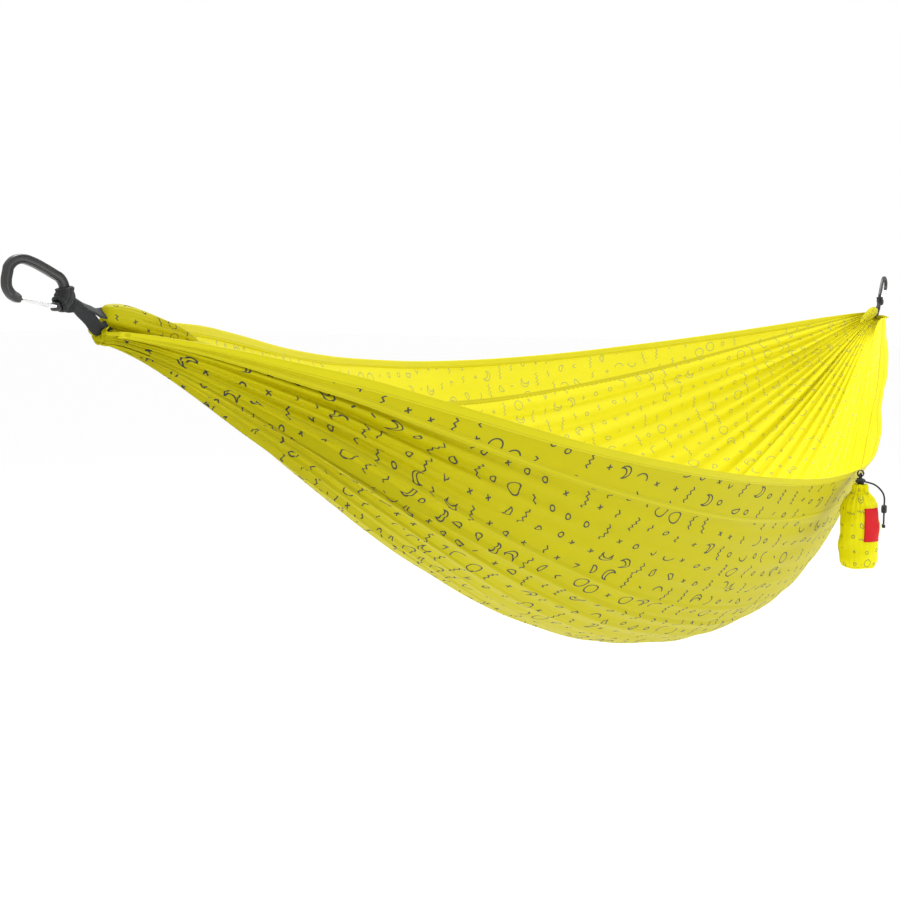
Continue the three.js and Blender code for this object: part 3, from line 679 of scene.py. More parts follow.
def metal(name, c1, c2, rough, metallic=1.0, scale=60, bump=0.06, coat=0.0, stretch=(1, 1, 1), dark=0.0):
    m, t, p, out = principled(name)
    tc = t.nodes.new("ShaderNodeTexCoord"); mp = t.nodes.new("ShaderNodeMapping"); mp.inputs["Scale"].default_value = stretch
    nz = t.nodes.new("ShaderNodeTexNoise"); nz.inputs["Scale"].default_value = scale; nz.inputs["Detail"].default_value = 6
    link(t, tc.outputs["Object"], mp.inputs["Vector"]); link(t, mp.outputs[0], nz.inputs["Vector"])
    mx = t.nodes.new("ShaderNodeMix"); mx.data_type = "RGBA"
    link(t, nz.outputs["Fac"], mx.inputs[0]); mx.inputs[6].default_value = c1; mx.inputs[7].default_value = c2
    # painted highlight: edges (high pointiness) lightened towards c2 * 2.2
    geo = t.nodes.new("ShaderNodeNewGeometry")
    N.tree = t
    rim_highlight = N.op("MULTIPLY", (N(geo.outputs["Pointiness"]) - 0.56), 9.0, clamp=True)
    m2 = t.nodes.new("ShaderNodeMix"); m2.data_type = "RGBA"
    link(t, (rim_highlight * 0.35).s, m2.inputs[0]); link(t, mx.outputs[2], m2.inputs[6]); m2.inputs[7].default_value = tuple(min(1, c * 2.2) for c in c2[:3]) + (1,)
    # painted shade: hollows (low pointiness) darkened towards c1 * 0.25, by the amount dark
    hollow = N.op("MULTIPLY", (0.495 - N(geo.outputs["Pointiness"])), 12.0, clamp=True)
    m3 = t.nodes.new("ShaderNodeMix"); m3.data_type = "RGBA"
    link(t, (hollow * dark).s, m3.inputs[0]); link(t, m2.outputs[2], m3.inputs[6]); m3.inputs[7].default_value = tuple(c * 0.25 for c in c1[:3]) + (1,)
    link(t, m3.outputs[2], p.inputs["Base Color"])
    rr = N.op("MULTIPLY_ADD", N(nz.outputs["Fac"]), 0.18, rough - 0.09)
    link(t, rr.s, p.inputs["Roughness"])
    fine = t.nodes.new("ShaderNodeTexNoise"); fine.inputs["Scale"].default_value = 1800; fine.inputs["Detail"].default_value = 2
    link(t, mp.outputs[0], fine.inputs["Vector"])
    b = t.nodes.new("ShaderNodeBump"); b.inputs["Distance"].default_value = 0.0001; b.inputs["Strength"].default_value = bump * 4
    link(t, fine.outputs["Fac"], b.inputs["Height"]); link(t, b.outputs[0], p.inputs["Normal"])
    p.inputs["Metallic"].default_value = metallic
    p.inputs["Coat Weight"].default_value = coat
    return m


# the forged alloy gets painted shade in its grooves (dark=0.7); all three metals get painted highlights on their edges
m_alloy = metal("forged_alloy_dark", srgb(58, 59, 58), srgb(76, 77, 76), 0.34, metallic=0.85, scale=90, dark=0.7)
m_wire = metal("gate_wire_bright", srgb(205, 207, 210), srgb(228, 229, 232), 0.2, scale=200, bump=0.03)
m_spring = metal("lock_spring_wire", srgb(190, 192, 195), srgb(215, 216, 220), 0.25, scale=300)


def cord_material(name, c1, c2, pitch=0.0022):
    m, t, p, out = principled(name)
    N.tree = t
    uvn = t.nodes.new("ShaderNodeUVMap"); uvn.uv_map = "uv"
    sep = t.nodes.new("ShaderNodeSeparateXYZ"); link(t, uvn.outputs[0], sep.inputs[0])
    u, v = N(sep.outputs[0]), N(sep.outputs[1])      # v in turns
    a = ((u / pitch + v * 8.0).fract() - 0.5).abs() * 2.0
    b = ((u / pitch - v * 8.0).fract() - 0.5).abs() * 2.0
    f = a.min(b)
    mx = t.nodes.new("ShaderNodeMix"); mx.data_type = "RGBA"
    link(t, f.s, mx.inputs[0]); mx.inputs[6].default_value = c1; mx.inputs[7].default_value = c2
    link(t, mx.outputs[2], p.inputs["Base Color"])
    bump = t.nodes.new("ShaderNodeBump"); bump.inputs["Distance"].default_value = 0.0004; bump.inputs["Strength"].default_value = 0.7
    link(t, f.s, bump.inputs["Height"]); link(t, bump.outputs[0], p.inputs["Normal"])
    p.inputs["Roughness"].default_value = 0.7; p.inputs["Sheen Weight"].default_value = 0.2
    return m


m_cord = cord_material("cord_black", srgb(14, 14, 15), srgb(44, 44, 47))


def plastic(name, c1, c2, rough=0.42):
    m, t, p, out = principled(name)
    tc = t.nodes.new("ShaderNodeTexCoord")
    nz = t.nodes.new("ShaderNodeTexNoise"); nz.inputs["Scale"].default_value = 700; nz.inputs["Detail"].default_value = 4
    link(t, tc.outputs["Object"], nz.inputs["Vector"])
    mx = t.nodes.new("ShaderNodeMix"); mx.data_type = "RGBA"
    link(t, nz.outputs["Fac"], mx.inputs[0]); mx.inputs[6].default_value = c1; mx.inputs[7].default_value = c2
    link(t, mx.outputs[2], p.inputs["Base Color"])
    b = t.nodes.new("ShaderNodeBump"); b.inputs["Distance"].default_value = 0.0001; b.inputs["Strength"].default_value = 0.3
    link(t, nz.outputs["Fac"], b.inputs["Height"]); link(t, b.outputs[0], p.inputs["Normal"])
    N.tree = t
    link(t, N.op("MULTIPLY_ADD", N(nz.outputs["Fac"]), 0.15, rough - 0.07).s, p.inputs["Roughness"])
    return m


m_lock = plastic("lock_plastic_black", srgb(20, 20, 22), srgb(30, 30, 33))


def label_material(name):
    m, t, p, out = principled(name)
    N.tree = t
    uvn = t.nodes.new("ShaderNodeUVMap"); uvn.uv_map = "uv"
    sep = t.nodes.new("ShaderNodeSeparateXYZ"); link(t, uvn.outputs[0], sep.inputs[0])
    u, v = N(sep.outputs[0]), N(sep.outputs[1])      # metres down and across
    twill = ((u / 0.0006 + v / 0.0006).fract() - 0.5).abs() * 2.0
    on = (u / 0.0022).fract().lt(0.7)
    on2 = (v / 0.0022).fract().lt(0.7)
    e1 = ((v - 0.0012).abs().lt(0.0003)).max((v - (0.0354 - 0.0012)).abs().lt(0.0003)) * on
    e2 = ((u - 0.0012).abs().lt(0.0003)).max((u - (0.057 - 0.0012)).abs().lt(0.0003)) * on2
    st = e1.max(e2)
    base = t.nodes.new("ShaderNodeMix"); base.data_type = "RGBA"
    link(t, twill.s, base.inputs[0]); base.inputs[6].default_value = srgb(226, 36, 44); base.inputs[7].default_value = srgb(205, 28, 36)
    mx = t.nodes.new("ShaderNodeMix"); mx.data_type = "RGBA"
    link(t, st.s, mx.inputs[0]); link(t, base.outputs[2], mx.inputs[6]); mx.inputs[7].default_value = srgb(150, 16, 24)
    link(t, mx.outputs[2], p.inputs["Base Color"])
    b = t.nodes.new("ShaderNodeBump"); b.inputs["Distance"].default_value = 0.0002; b.inputs["Strength"].default_value = 0.5
    link(t, twill.s, b.inputs["Height"]); link(t, b.outputs[0], p.inputs["Normal"])
    p.inputs["Roughness"].default_value = 0.72; p.inputs["Specular IOR Level"].default_value = 0.2
    return m


m_label = label_material("label_woven")

# ---------------------------------------------------------------- the bed
pieces = {}
for name, node in (("centre", ("center_panel_left_end", "center_panel_left", "center_panel_right", "center_panel_right_end")),
                   ("near", ("edge_panel_near",)), ("far", ("edge_panel_far",))):
    g = G[name]
    Nn = grid_normals(g["P"])
    # outward: away from the bed's axis
    s = (g["P"][..., 0] - FL[0]) / (FR[0] - FL[0])
    ref = g["N"]
    sign = np.sign((Nn * ref).sum(-1).mean())
    Nn = Nn * sign
    step = np.linalg.norm(np.diff(g["P"][..., 1:], axis=1), axis=-1)
    run = np.concatenate([np.zeros((len(step), 1)), np.cumsum(step, axis=1)], axis=1)
    # the print's rows start from a sewn edge: outside from the near one, inside from the far one
    at = {"near": 0.0, "centre": 0.40, "far": 2.0}[name]
    back = run - run[:, -1:] if name == "centre" else run
    uv = np.stack(np.broadcast_arrays(UP[:, None], at + run), -1)
    uv_in = np.stack(np.broadcast_arrays(UP[:, None] * 1.0, at + 1.3 + back), -1)
    o = shell_piece("bed_" + name + "_cloth", g["P"], Nn, uv, 0.0006, [m_out, m_in], uv_in=uv_in)
    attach(o, "bed"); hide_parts(*node)
    pieces[name] = o


# sewn strips: flat closed bands that follow a line of the surface
def strip(name, phi_of, width_in, width_out, th, mat, uv_rows, lift=0.0, seed=0, rip=0.0):
    """A closed band along the line phi_of(s). width_in runs towards the bed's middle."""
    n = 420
    tt = np.linspace(0, 1, n)
    s = 0.0042 + (1 - 0.0084) * (0.6 * tt + 0.4 * (0.5 - 0.5 * np.cos(math.pi * tt)))
    ph = np.array([phi_of(x) for x in s])
    P = base(s, ph)
    e = 1e-3
    A = base(s, ph + e) - base(s, ph - e); A /= np.linalg.norm(A, axis=1)[:, None]
    T = np.gradient(P, axis=0); T /= np.linalg.norm(T, axis=1)[:, None]
    A = A - T * (A * T).sum(1)[:, None]; A /= np.linalg.norm(A, axis=1)[:, None]
    Nn = np.cross(T, A)
    ax = np.stack([P[:, 0], np.zeros(n), axis_z(s)], -1)
    Nn *= np.sign(((P - ax) * Nn).sum(1))[:, None]
    P = P + Nn * uneven(P)[:, None]
    L = np.concatenate([[0], np.cumsum(np.linalg.norm(np.diff(P, axis=0), axis=1))])
    # small puckers from the stitching
    P = P + Nn * (rip * np.sin(L / 0.017 * 6.28 + 1.7 * np.sin(L / 0.11)))[:, None]
    prof = []
    k = 6
    w0, w1 = -width_out, width_in
    for j in range(k):
        prof.append((w0 + (w1 - w0) * j / (k - 1), th / 2))
    prof.append((w1 + th * 0.35, 0))
    for j in range(k):
        prof.append((w1 - (w1 - w0) * j / (k - 1), -th / 2))
    prof.append((w0 - th * 0.35, 0))
    prof = np.array(prof)
    sgn = 1.0 if ph[n // 2] < 0 else -1.0     # towards the bed's middle
    shrink = np.clip(radius(s, ph) / 0.12, 0.45, 1)[:, None, None]
    thin = (0.35 + 0.65 * smooth(0, 0.05, L) * smooth(0, 0.05, L[-1] - L))[:, None, None]
    rings = P[:, None] + sgn * A[:, None] * prof[None, :, 0:1] * shrink + Nn[:, None] * (prof[None, :, 1:2] * thin + lift)
    R, C = rings.shape[:2]
    o = tube_piece(name, rings, [mat])
    # uv in metres: u along, v across
    vv = prof[:, 0] - w0
    uv = np.stack(np.broadcast_arrays(L[:, None], vv[None]), -1).reshape(-1, 2)
    uv = np.vstack([uv, uv[:1], uv[-1:]])
    li = np.zeros(len(o.data.loops), np.int32); o.data.loops.foreach_get("vertex_index", li)
    o.data.uv_layers[0].data.foreach_set("uv", uv[li].astype(np.float32).ravel())
    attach(o, "bed")
    return o


hem_n = strip("hem_near", phi_near, 0.012, 0.0012, 0.0022, m_hem, None, rip=0.00025)
hem_f = strip("hem_far", lambda s: -phi_far(s), 0.012, 0.0012, 0.0022, m_hem, None, rip=0.00025)
seam_n = strip("seam_near", f_seam_n, 0.0045, 0.0045, 0.0019, m_seam, None, rip=0.0003)
seam_f = strip("seam_far", f_seam_f, 0.0045, 0.0045, 0.0019, m_seam, None, rip=0.0003)

for name, strips in (("near", [hem_n, seam_n]), ("centre", []), ("far", [hem_f, seam_f])):
    # each piece is taken as cut narrower towards both ends: 80% of its rectangle
    _w = G[name]["W"]
    _cut = sum(p.area for p in pieces[name].data.polygons) / 2
    print("cloth", name, round(_w, 3), round(_cut / (_w * CLOTH_L), 3))


# the folded cloth inside each gathered end, above the webbing
def channel(name, fab, sx, seed):
    r = np.random.RandomState(seed)
    C = 150
    psi = np.arange(C) / C * 2 * math.pi
    ph = r.rand(8) * 6.28
    # x from the fabric's end, radius, height of the centre, fold depth
    prof = np.array([(0.0035, 0.0005, 0.0052, 0.0), (0.0040, 0.0040, 0.0054, 0.0002), (0.0060, 0.0074, 0.0056, 0.0006), (0.0095, 0.0098, 0.0054, 0.0010),
                     (0.016, 0.0114, 0.0046, 0.0014), (0.026, 0.0128, 0.0030, 0.0018), (0.041, 0.0136, 0.0002, 0.0022), (0.058, 0.0134, -0.0036, 0.0024),
                     (0.075, 0.0124, -0.0072, 0.0024), (0.096, 0.0104, -0.0112, 0.0020), (0.115, 0.0078, -0.0152, 0.0014), (0.135, 0.0040, -0.0205, 0.0006), (0.146, 0.0006, -0.0235, 0.0)])
    rows = smooth_line(prof[:, :3], 84)
    dep = np.interp(np.linspace(0, 1, 84), np.linspace(0, 1, len(prof)), prof[:, 3])
    rings = []
    for (x, rad, cz_), dp in zip(rows, dep):
        # three broad folds and finer creases between them, winding slowly along the bundle
        fold = 0.62 * np.abs(np.sin(psi * 3 + 0.7 * np.sin(psi * 2 + ph[0]) + 6 * x)) ** 0.55 + 0.38 * np.abs(np.sin(psi * 7 + 1.3 * np.sin(psi * 3 + ph[1]) - 9 * x)) ** 0.8
        rr = rad - 1.75 * dp * (1 - fold)
        jx = 0.0010 * np.sin(psi * 5 + ph[4]) * smooth(0.010, 0.013, rad)
        rings.append(np.stack([fab[0] + sx * (x + jx), fab[1] + rr * 0.92 * np.cos(psi), fab[2] + cz_ + rr * 1.04 * np.sin(psi)], -1))
    rings = np.array(rings)
    o = tube_piece(name, rings, [m_bundle], uv_scale=(1.5, 0.16))
    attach(o, "bed")
    return o


ch_l = channel("channel_gather_left", FL, 1, 3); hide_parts("channel_left")
ch_r = channel("channel_gather_right", FR, -1, 4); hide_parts("channel_right")

# ------------------------------------------------------- webbing and metal
def unit(v):
    v = np.array(v, float); return v / np.linalg.norm(v)


KU, INNER, NARROW = 0.0103, 0.064, 0.0151
TL_, TR_, SR_ = 16.0 * D2R, 52 * D2R, 38 * D2R
ENDS = {}
uL = np.array([-math.cos(TL_), 0, math.sin(TL_)]); kL = -uL * (INNER - KU)
dL = FL - kL; strap_len = np.linalg.norm(dL); dL = dL / strap_len
dR = np.array([-math.cos(SR_), 0, -math.sin(SR_)]); kR = FR - dR * strap_len
uR = np.array([math.cos(TR_), 0, math.sin(TR_)]); bR = kR + uR * (INNER - KU)
ENDS["left"] = dict(b=np.zeros(3), u=uL, k=kL, d=dL, fab=FL, sx=1)
ENDS["right"] = dict(b=bR, u=uR, k=kR, d=dR, fab=FR, sx=-1)
NECK_OUT = NARROW + 0.00485 + 0.0026
NECK_END = NECK_OUT + 0.008


def superring(c, a, b, ra, rb, n, e, ribs=None):
    t = (np.arange(n) + 0.5) / n * 2 * math.pi
    ct, st = np.cos(t), np.sin(t)
    p = np.sign(ct) * np.abs(ct) ** (2 / e); q = np.sign(st) * np.abs(st) ** (2 / e)
    k = 1 if ribs is None else ribs(t)
    return c + a * (ra * p * k)[:, None] + b * (rb * q * k)[:, None]


Yv = np.array([0, 1.0, 0])
for side, E in ENDS.items():
    k, d, u, fab, sx = E["k"], E["d"], E["u"], E["fab"], E["sx"]
    sd = np.cross(d, Yv); sd /= np.linalg.norm(sd)
    # girth hitch: a broad ribbed band round the bar, ribs along the bar
    n = 34
    half = 38 * D2R
    nring = 132
    outer, inner = [], []
    rib = lambda t: 1 + 0.016 * np.cos(t * 22)
    for i in range(n + 1):
        t = -half + 2 * half * i / n
        e = abs(2 * i / n - 1)
        rad = d * math.cos(t) + sd * math.sin(t)
        c = k + rad * NARROW
        f = 1 - 0.22 * max(0, (e - 0.86) / 0.14) ** 2
        # a waist in the middle, where the two legs pass under the bight
        g = 1 + 0.05 * math.cos(e * math.pi * 2.0)
        outer.append(superring(c, rad, Yv, 0.0083 * f * g, 0.0077 * f * g, nring, 2.8, rib))
        inner.append(superring(c, rad, Yv, 0.0053, 0.0047, nring, 3.2))
    rings = np.array(outer + inner[::-1])
    R, C = rings.shape[:2]
    F = grid_faces(R, C, wrap=True)
    F = np.concatenate([F, np.array([[(R - 1) * C + j, (R - 1) * C + (j + 1) % C, (j + 1) % C, j] for j in range(C)])])
    uvv = np.stack(np.broadcast_arrays((np.arange(C) / C * 22 * 0.0019)[None], (np.arange(R) / n * 0.018)[:, None]), -1).reshape(-1, 2)
    o = new_mesh(f"hitch_wrap_{side}", rings.reshape(-1, 3), F, uvv, None, [m_web])
    face_out(o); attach(o, f"hitch_{side}"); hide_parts(f"hitch_{side}")
    # legs: two webbing strands from the hitch into the channel
    for leg, (sz, sy) in enumerate(((1, 1), (-1, -1))):
        pts = []
        up = np.array([0, 0, 1.0])
        off = sd * (np.sign(sd[2]) or 1)
        A0 = k + d * (NECK_OUT - 0.0055) + off * sz * 0.0062
        pts.append(A0)
        pts.append(k + d * (NECK_OUT + 0.0005) + off * sz * 0.0052 + Yv * sy * 0.0004)
        pts.append(k + d * (NECK_END - 0.001) + off * sz * 0.0020 + Yv * sy * 0.0022)
        pts.append(k + d * (NECK_END + 0.010) + off * sz * 0.0032 - Yv * 0.0010 + Yv * sy * 0.0010)
        pts.append(k + d * (strap_len - 0.014) + off * sz * 0.0050 - Yv * 0.0014)
        pts.append(fab + np.array([-sx * 0.003, -0.001, 0]) + up * (0.0078 if sz > 0 else -0.0080))
        # both go into the folded cloth inside the channel
        pts.append(fab + np.array([sx * 0.010, 0, 0]) + up * (0.0072 if sz > 0 else -0.0050))
        pts.append(fab + np.array([sx * 0.026, 0, 0]) + up * (0.0060 if sz > 0 else 0.0020))
        line = smooth_line(pts, 190)
        T, A, B = frames_along(line, up=off)
        Ln = np.concatenate([[0], np.cumsum(np.linalg.norm(np.diff(line, axis=0), axis=1))])
        w = 0.0063 + 0.0008 * smooth(0.02, 0.05, Ln)
        th = 0.0016 + 0.0004 * np.exp(-((Ln - 0.012) / 0.008) ** 2)
        ribg = 1 + 0.06 * np.cos(Ln / 0.0024 * 6.283)
        tw = (0.85 if sz > 0 else -0.45) * smooth(0.008, 0.030, Ln) * (1 - 0.6 * smooth(0.045, 0.07, Ln))
        tt = np.arange(26) / 26 * 2 * math.pi
        ct, st = np.cos(tt), np.sin(tt)
        p = np.sign(ct) * np.abs(ct) ** (2 / 3.0); q = np.sign(st) * np.abs(st) ** (2 / 3.0)
        rg = []
        for i in range(len(line)):
            a = A[i] * math.cos(tw[i]) + B[i] * math.sin(tw[i]); b = -A[i] * math.sin(tw[i]) + B[i] * math.cos(tw[i])
            rg.append(line[i] + a * (p * th[i] * ribg[i])[:, None] + b * (q * w[i])[:, None])
        o = tube_piece(f"strap_leg_{'upper' if sz > 0 else 'lower'}_{side}", np.array(rg), [m_web], uv_scale=(1, 0.028))
        tuple(k + d * (NECK_END + 0.012))
        tuple(k + d * (NECK_OUT - 0.001))
        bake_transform(o)
        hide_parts(f"strap_{side}")

    # carabiner body: forged, hollowed on both flat sides
    v = np.array([0, 0, 1.0]) - u * u[2]; v /= np.linalg.norm(v)
    yy = np.cross(v, u)
    org = E["b"] - u * INNER
    pts = []
    for i in range(13):
        a = (262 - 172 * i / 12) * D2R
        pts.append([KU + NARROW * math.cos(a), NARROW * math.sin(a), 0])
    cu = INNER + 0.0045
    pts = smooth_line(pts + [[0.024, 0.0170, 0], [0.042, 0.0186, 0], [0.055, 0.0176, 0], [0.0638, 0.0128, 0], [cu, 0.0056, 0], [cu, 0.0035, 0],
                             [cu, -0.0035, 0], [cu, -0.0050, 0], [0.0663, -0.0120, 0], [0.0600, -0.0170, 0], [0.0520, -0.0186, 0], [0.0476, -0.0186, 0]], 200)
    T = np.gradient(pts, axis=0); T /= np.linalg.norm(T, axis=1)[:, None]
    Nl = np.stack([-T[:, 1], T[:, 0], 0 * T[:, 0]], -1)
    n = len(pts)
    rings = []
    CS = 48
    tt = (np.arange(CS) + 0.5) / CS * 2 * math.pi
    for i in range(n):
        f = i / (n - 1)
        h = 0.0046
        wy = 0.0041
        # lug at the start, nose at the end
        lug = 1 - smooth(0.0, 0.05, f); nose = smooth(0.955, 1.0, f)
        hh = h * (1 - 0.16 * lug - 0.20 * nose)
        wide = wy * (1 - 0.22 * lug - 0.30 * nose)
        groove = 0.52 * smooth(0.07, 0.15, f) * (1 - smooth(0.86, 0.93, f))
        ct, st = np.cos(tt), np.sin(tt)
        e = 3.4
        p = np.sign(ct) * np.abs(ct) ** (2 / e); q = np.sign(st) * np.abs(st) ** (2 / e)
        # the web between the flanges is thinner
        web = 1 - groove * np.exp(-(p / 0.60) ** 6)
        end = 1.0
        if i < 3: end = (0.62, 0.86, 0.97)[i]
        if i > n - 4: end = (0.97, 0.86, 0.62)[i - (n - 3)]
        c = org + u * pts[i, 0] + v * pts[i, 1]
        nl = u * Nl[i, 0] + v * Nl[i, 1]
        rings.append(c + nl * (p * hh * end)[:, None] + yy * (q * wide * web * end)[:, None])
    o = tube_piece(f"carabiner_forging_{side}", np.array(rings), [m_alloy])
    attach(o, f"carabiner_{side}"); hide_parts(f"carabiner_body_{side}")
    # rivet through the lug, round which the gate turns
    piv = org + u * 0.009 + v * -0.0146
    prof = [(0.0, 0.0033), (0.0009, 0.0033), (0.0013, 0.0029), (0.0014, 0.0)]
    n_r = 28
    rg = []
    for x, r_ in [(-0.0031, 0.0001), (-0.0031, 0.0014), (-0.0029, 0.0017), (-0.0026, 0.0017), (0.0026, 0.0017), (0.0029, 0.0017), (0.0031, 0.0014), (0.0031, 0.0001)]:
        t = np.arange(n_r) / n_r * 2 * math.pi
        rg.append(piv + yy * x * 1.12 + u * (r_ * np.cos(t))[:, None] + v * (r_ * np.sin(t))[:, None])
    o = tube_piece(f"gate_rivet_{side}", np.array(rg), [m_wire])
    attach(o, f"carabiner_{side}")
    # wire gate: one bent wire, ends turned in to the lug
    y0, y1 = 0.0040 + 0.0013 + 0.00035, 0.0022
    P = lambda t, y: (org + u * (0.009 + (0.0452 - 0.009) * t) + v * (-0.0146 + (-0.0182 + 0.0146) * t) + yy * y)
    line = smooth_line([P(-0.03, y0), P(0.15, y0 * 0.96), P(0.5, y0 * 0.72), P(0.86, y1 + 0.0005), P(0.97, y1 * 0.75), P(1, 0),
                        P(0.97, -y1 * 0.75), P(0.86, -y1 - 0.0005), P(0.5, -y0 * 0.72), P(0.15, -y0 * 0.96), P(-0.03, -y0)], 130)
    rr = np.full(130, 0.0016); rr[:2] = (0.0010, 0.0014); rr[-2:] = (0.0014, 0.0010)
    o = tube_line(f"gate_wire_{side}", line, rr, 16, [m_wire], up=tuple(v))
    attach(o, f"gate_{side}"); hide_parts(f"gate_{side}")

# -------------------------------------------------------------- stuff sack
HEM = base(np.array([0.5]), np.array([PN]))[0]
PIV = HEM + np.array([0, -0.0089, -0.003])
SACK_R, SACK_H, Z0 = 0.0335, 0.1214, -0.0340
Z1 = Z0 - SACK_H
rs = np.random.RandomState(12)
C = 264
psi = np.arange(C) / C * 2 * math.pi
nf = 22
fw = psi * nf + 0.9 * np.sin(3 * psi + 1) + 0.6 * np.sin(7 * psi + 2)
foldw = (0.5 + 0.5 * np.sin(fw)) ** 0.7


def sack_radius(z):
    zs = np.array([0, 0.006, 0.017, 0.032, 0.055, SACK_H - 0.022, SACK_H - 0.008, SACK_H - 0.002, SACK_H + 0.002]) * -1 + Z0
    r = np.array([0.0172, 0.0236, 0.0292, 0.0320, 0.0333, 0.0332, 0.0323, 0.0308, 0.0282])
    return np.interp(-z, -zs, r)


def sack_wrinkle(z, a):
    """Soft dents in the side of the stuffed bag."""
    t = (Z0 - z) / SACK_H
    d = 0.0011 * np.sin(3 * a + 9 * t + 1.0) * np.sin(math.pi * np.clip(t, 0, 1)) + 0.0008 * np.sin(5 * a - 14 * t + 2.2) + 0.0006 * np.sin(2 * a + 23 * t)
    return d


rows = []
zs = np.concatenate([np.linspace(Z0, Z0 - 0.03, 26), np.linspace(Z0 - 0.031, Z1 + 0.010, 46), np.linspace(Z1 + 0.009, Z1 - 0.002, 12)])
for z in zs:
    t = (Z0 - z)
    dep = 0.0034 * math.exp(-t / 0.016) + 0.0004
    bot = 0.0012 * math.exp(-(z - Z1) / 0.012)
    r = sack_radius(z) - dep * (1 - foldw) - bot * (1 - foldw[::-1]) + sack_wrinkle(z, psi) * smooth(0, 0.03, t) * smooth(0, 0.012, z - Z1)
    r = r * (1 + 0.02 * np.cos(2 * psi + 0.6) * smooth(0.0, 0.05, t))
    rows.append(np.stack([r * np.cos(psi), r * np.sin(psi), np.full(C, z)], -1))
outer = np.array(rows)
inner = outer.copy(); rr = np.hypot(outer[..., 0], outer[..., 1])
inner[..., :2] *= ((rr - 0.0008) / rr)[..., None]
rings = np.concatenate([outer, inner[::-1]]) + PIV
R = len(rings)
F = grid_faces(R, C, wrap=True)
F = np.concatenate([F, np.array([[(R - 1) * C + j, (R - 1) * C + (j + 1) % C, (j + 1) % C, j] for j in range(C)])])
zz = np.concatenate([zs, zs[::-1]])
uv = np.stack(np.broadcast_arrays((Z0 - zz)[:, None] * 1.5 + 0.31, (psi / (2 * math.pi) * 0.335)[None]), -1).reshape(-1, 2)
o = new_mesh("stuff_sack_cloth", rings.reshape(-1, 3), F, uv, None, [m_sack]); face_out(o)
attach(o, "stuff_sack"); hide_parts("sack_body"); sack_o = o

# base: round bottom, sewn in, its edge in small gathers
rows = []
for r_, z in ((0.0268, 0.0002), (0.0276, -0.0012), (0.0282, -0.0026), (0.0272, -0.0042), (0.0240, -0.0056), (0.0190, -0.0064), (0.012, -0.0067), (0.006, -0.0068), (0.0008, -0.0068)):
    wob = 0.0006 * np.sin(fw) * (r_ / 0.03) ** 2
    rows.append(np.stack([(r_ + wob) * np.cos(psi), (r_ + wob) * np.sin(psi), np.full(C, Z1 + z) + 0.0007 * np.sin(4 * psi + r_ * 200) * (r_ / 0.03)], -1))
up_rows = [np.stack([r_ * np.cos(psi), r_ * np.sin(psi), np.full(C, Z1 + z)], -1) for r_, z in ((0.0008, -0.0057), (0.012, -0.0056), (0.021, -0.0048), (0.0248, -0.0036), (0.0258, -0.0018), (0.0260, -0.0004))]
rings = np.array(rows + up_rows) + PIV
o = tube_piece("stuff_sack_base", rings, [m_sack], uv_scale=(1, 0.19), caps=False)
bm = bmesh.new(); bm.from_mesh(o.data)
R = len(rings)
bm.verts.ensure_lookup_table()
uvl = bm.loops.layers.uv[0]
for j in range(C):
    bm.faces.new([bm.verts[(R - 1) * C + j], bm.verts[(R - 1) * C + (j + 1) % C], bm.verts[(j + 1) % C], bm.verts[j]])
bm.to_mesh(o.data); bm.free()
me = o.data
li = np.zeros(len(me.loops), np.int32); me.loops.foreach_get("vertex_index", li)
co = (rings.reshape(-1, 3) - PIV)[:, :2] * 1.6
me.uv_layers[0].data.foreach_set("uv", co[li].astype(np.float32).ravel())
me.polygons.foreach_set("use_smooth", [True] * len(me.polygons))
face_out(o)
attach(o, "stuff_sack"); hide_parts("sack_base")

# collar: gathered channel of the drawcord, mouth drawn nearly shut
prof = np.array([(0.0074, -0.0280), (0.0095, -0.0266), (0.0122, -0.0270), (0.0136, -0.0290), (0.0140, -0.0320), (0.0138, -0.0350), (0.0146, -0.0385), (0.0172, -0.0415),
                 (0.0170, -0.0424), (0.0150, -0.0420), (0.0125, -0.0385), (0.0108, -0.0345), (0.0090, -0.0310)])
prof[:, 1] += 0.0084
pl = smooth_line(np.column_stack([prof, 0 * prof[:, 0]]), 46, closed=False)
rows = []
for r_, z, _ in pl:
    dep = 0.0042 * smooth(0.0085, 0.012, r_)
    rad = r_ - dep * (1 - foldw) * (0.7 + 0.3 * np.sin(5 * psi + 0.7))
    z2 = z + 0.0011 * np.sin(6 * psi + 0.5) * smooth(-0.0226, -0.0186, z) * smooth(0.009, 0.012, r_)
    rows.append(np.stack([rad * np.cos(psi), rad * np.sin(psi), z2 + 0 * psi], -1))
rings = np.array(rows) + PIV
R = len(rings)
F = grid_faces(R, C, wrap=True)
F = np.concatenate([F, np.array([[(R - 1) * C + j, (R - 1) * C + (j + 1) % C, (j + 1) % C, j] for j in range(C)])])
uv = np.stack(np.broadcast_arrays((np.arange(R) / R * 0.04)[:, None] + 0.2, (psi / (2 * math.pi) * 0.21)[None]), -1).reshape(-1, 2)
o = new_mesh("stuff_sack_collar", rings.reshape(-1, 3), F, uv, None, [m_sack]); face_out(o)
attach(o, "stuff_sack"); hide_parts("sack_collar")

# label: plain woven, sewn on, curved with the bag
a0 = math.atan2(-0.866, -0.50); halfa = 0.52
zt = Z0 - 0.022
nz_, na_ = 44, 26
zl = np.linspace(zt, zt - 0.057, nz_); al = np.linspace(a0 - halfa, a0 + halfa, na_)
R_ = np.zeros((nz_, na_))
for i, z in enumerate(zl):
    R_[i] = sack_radius(z) + sack_wrinkle(z, al % (2 * math.pi)) * smooth(0, 0.03, Z0 - z) * 0.6 + 0.0013
R_ *= (1 + 0.02 * np.cos(2 * al + 0.6))[None] ** 1.0
edge = np.minimum(np.minimum(np.arange(nz_), np.arange(nz_)[::-1])[:, None], np.minimum(np.arange(na_), np.arange(na_)[::-1])[None])
R_ -= 0.0005 * np.exp(-edge / 1.2)
Pl = np.stack([R_ * np.cos(al)[None], R_ * np.sin(al)[None], np.broadcast_to(zl[:, None], R_.shape)], -1) + PIV
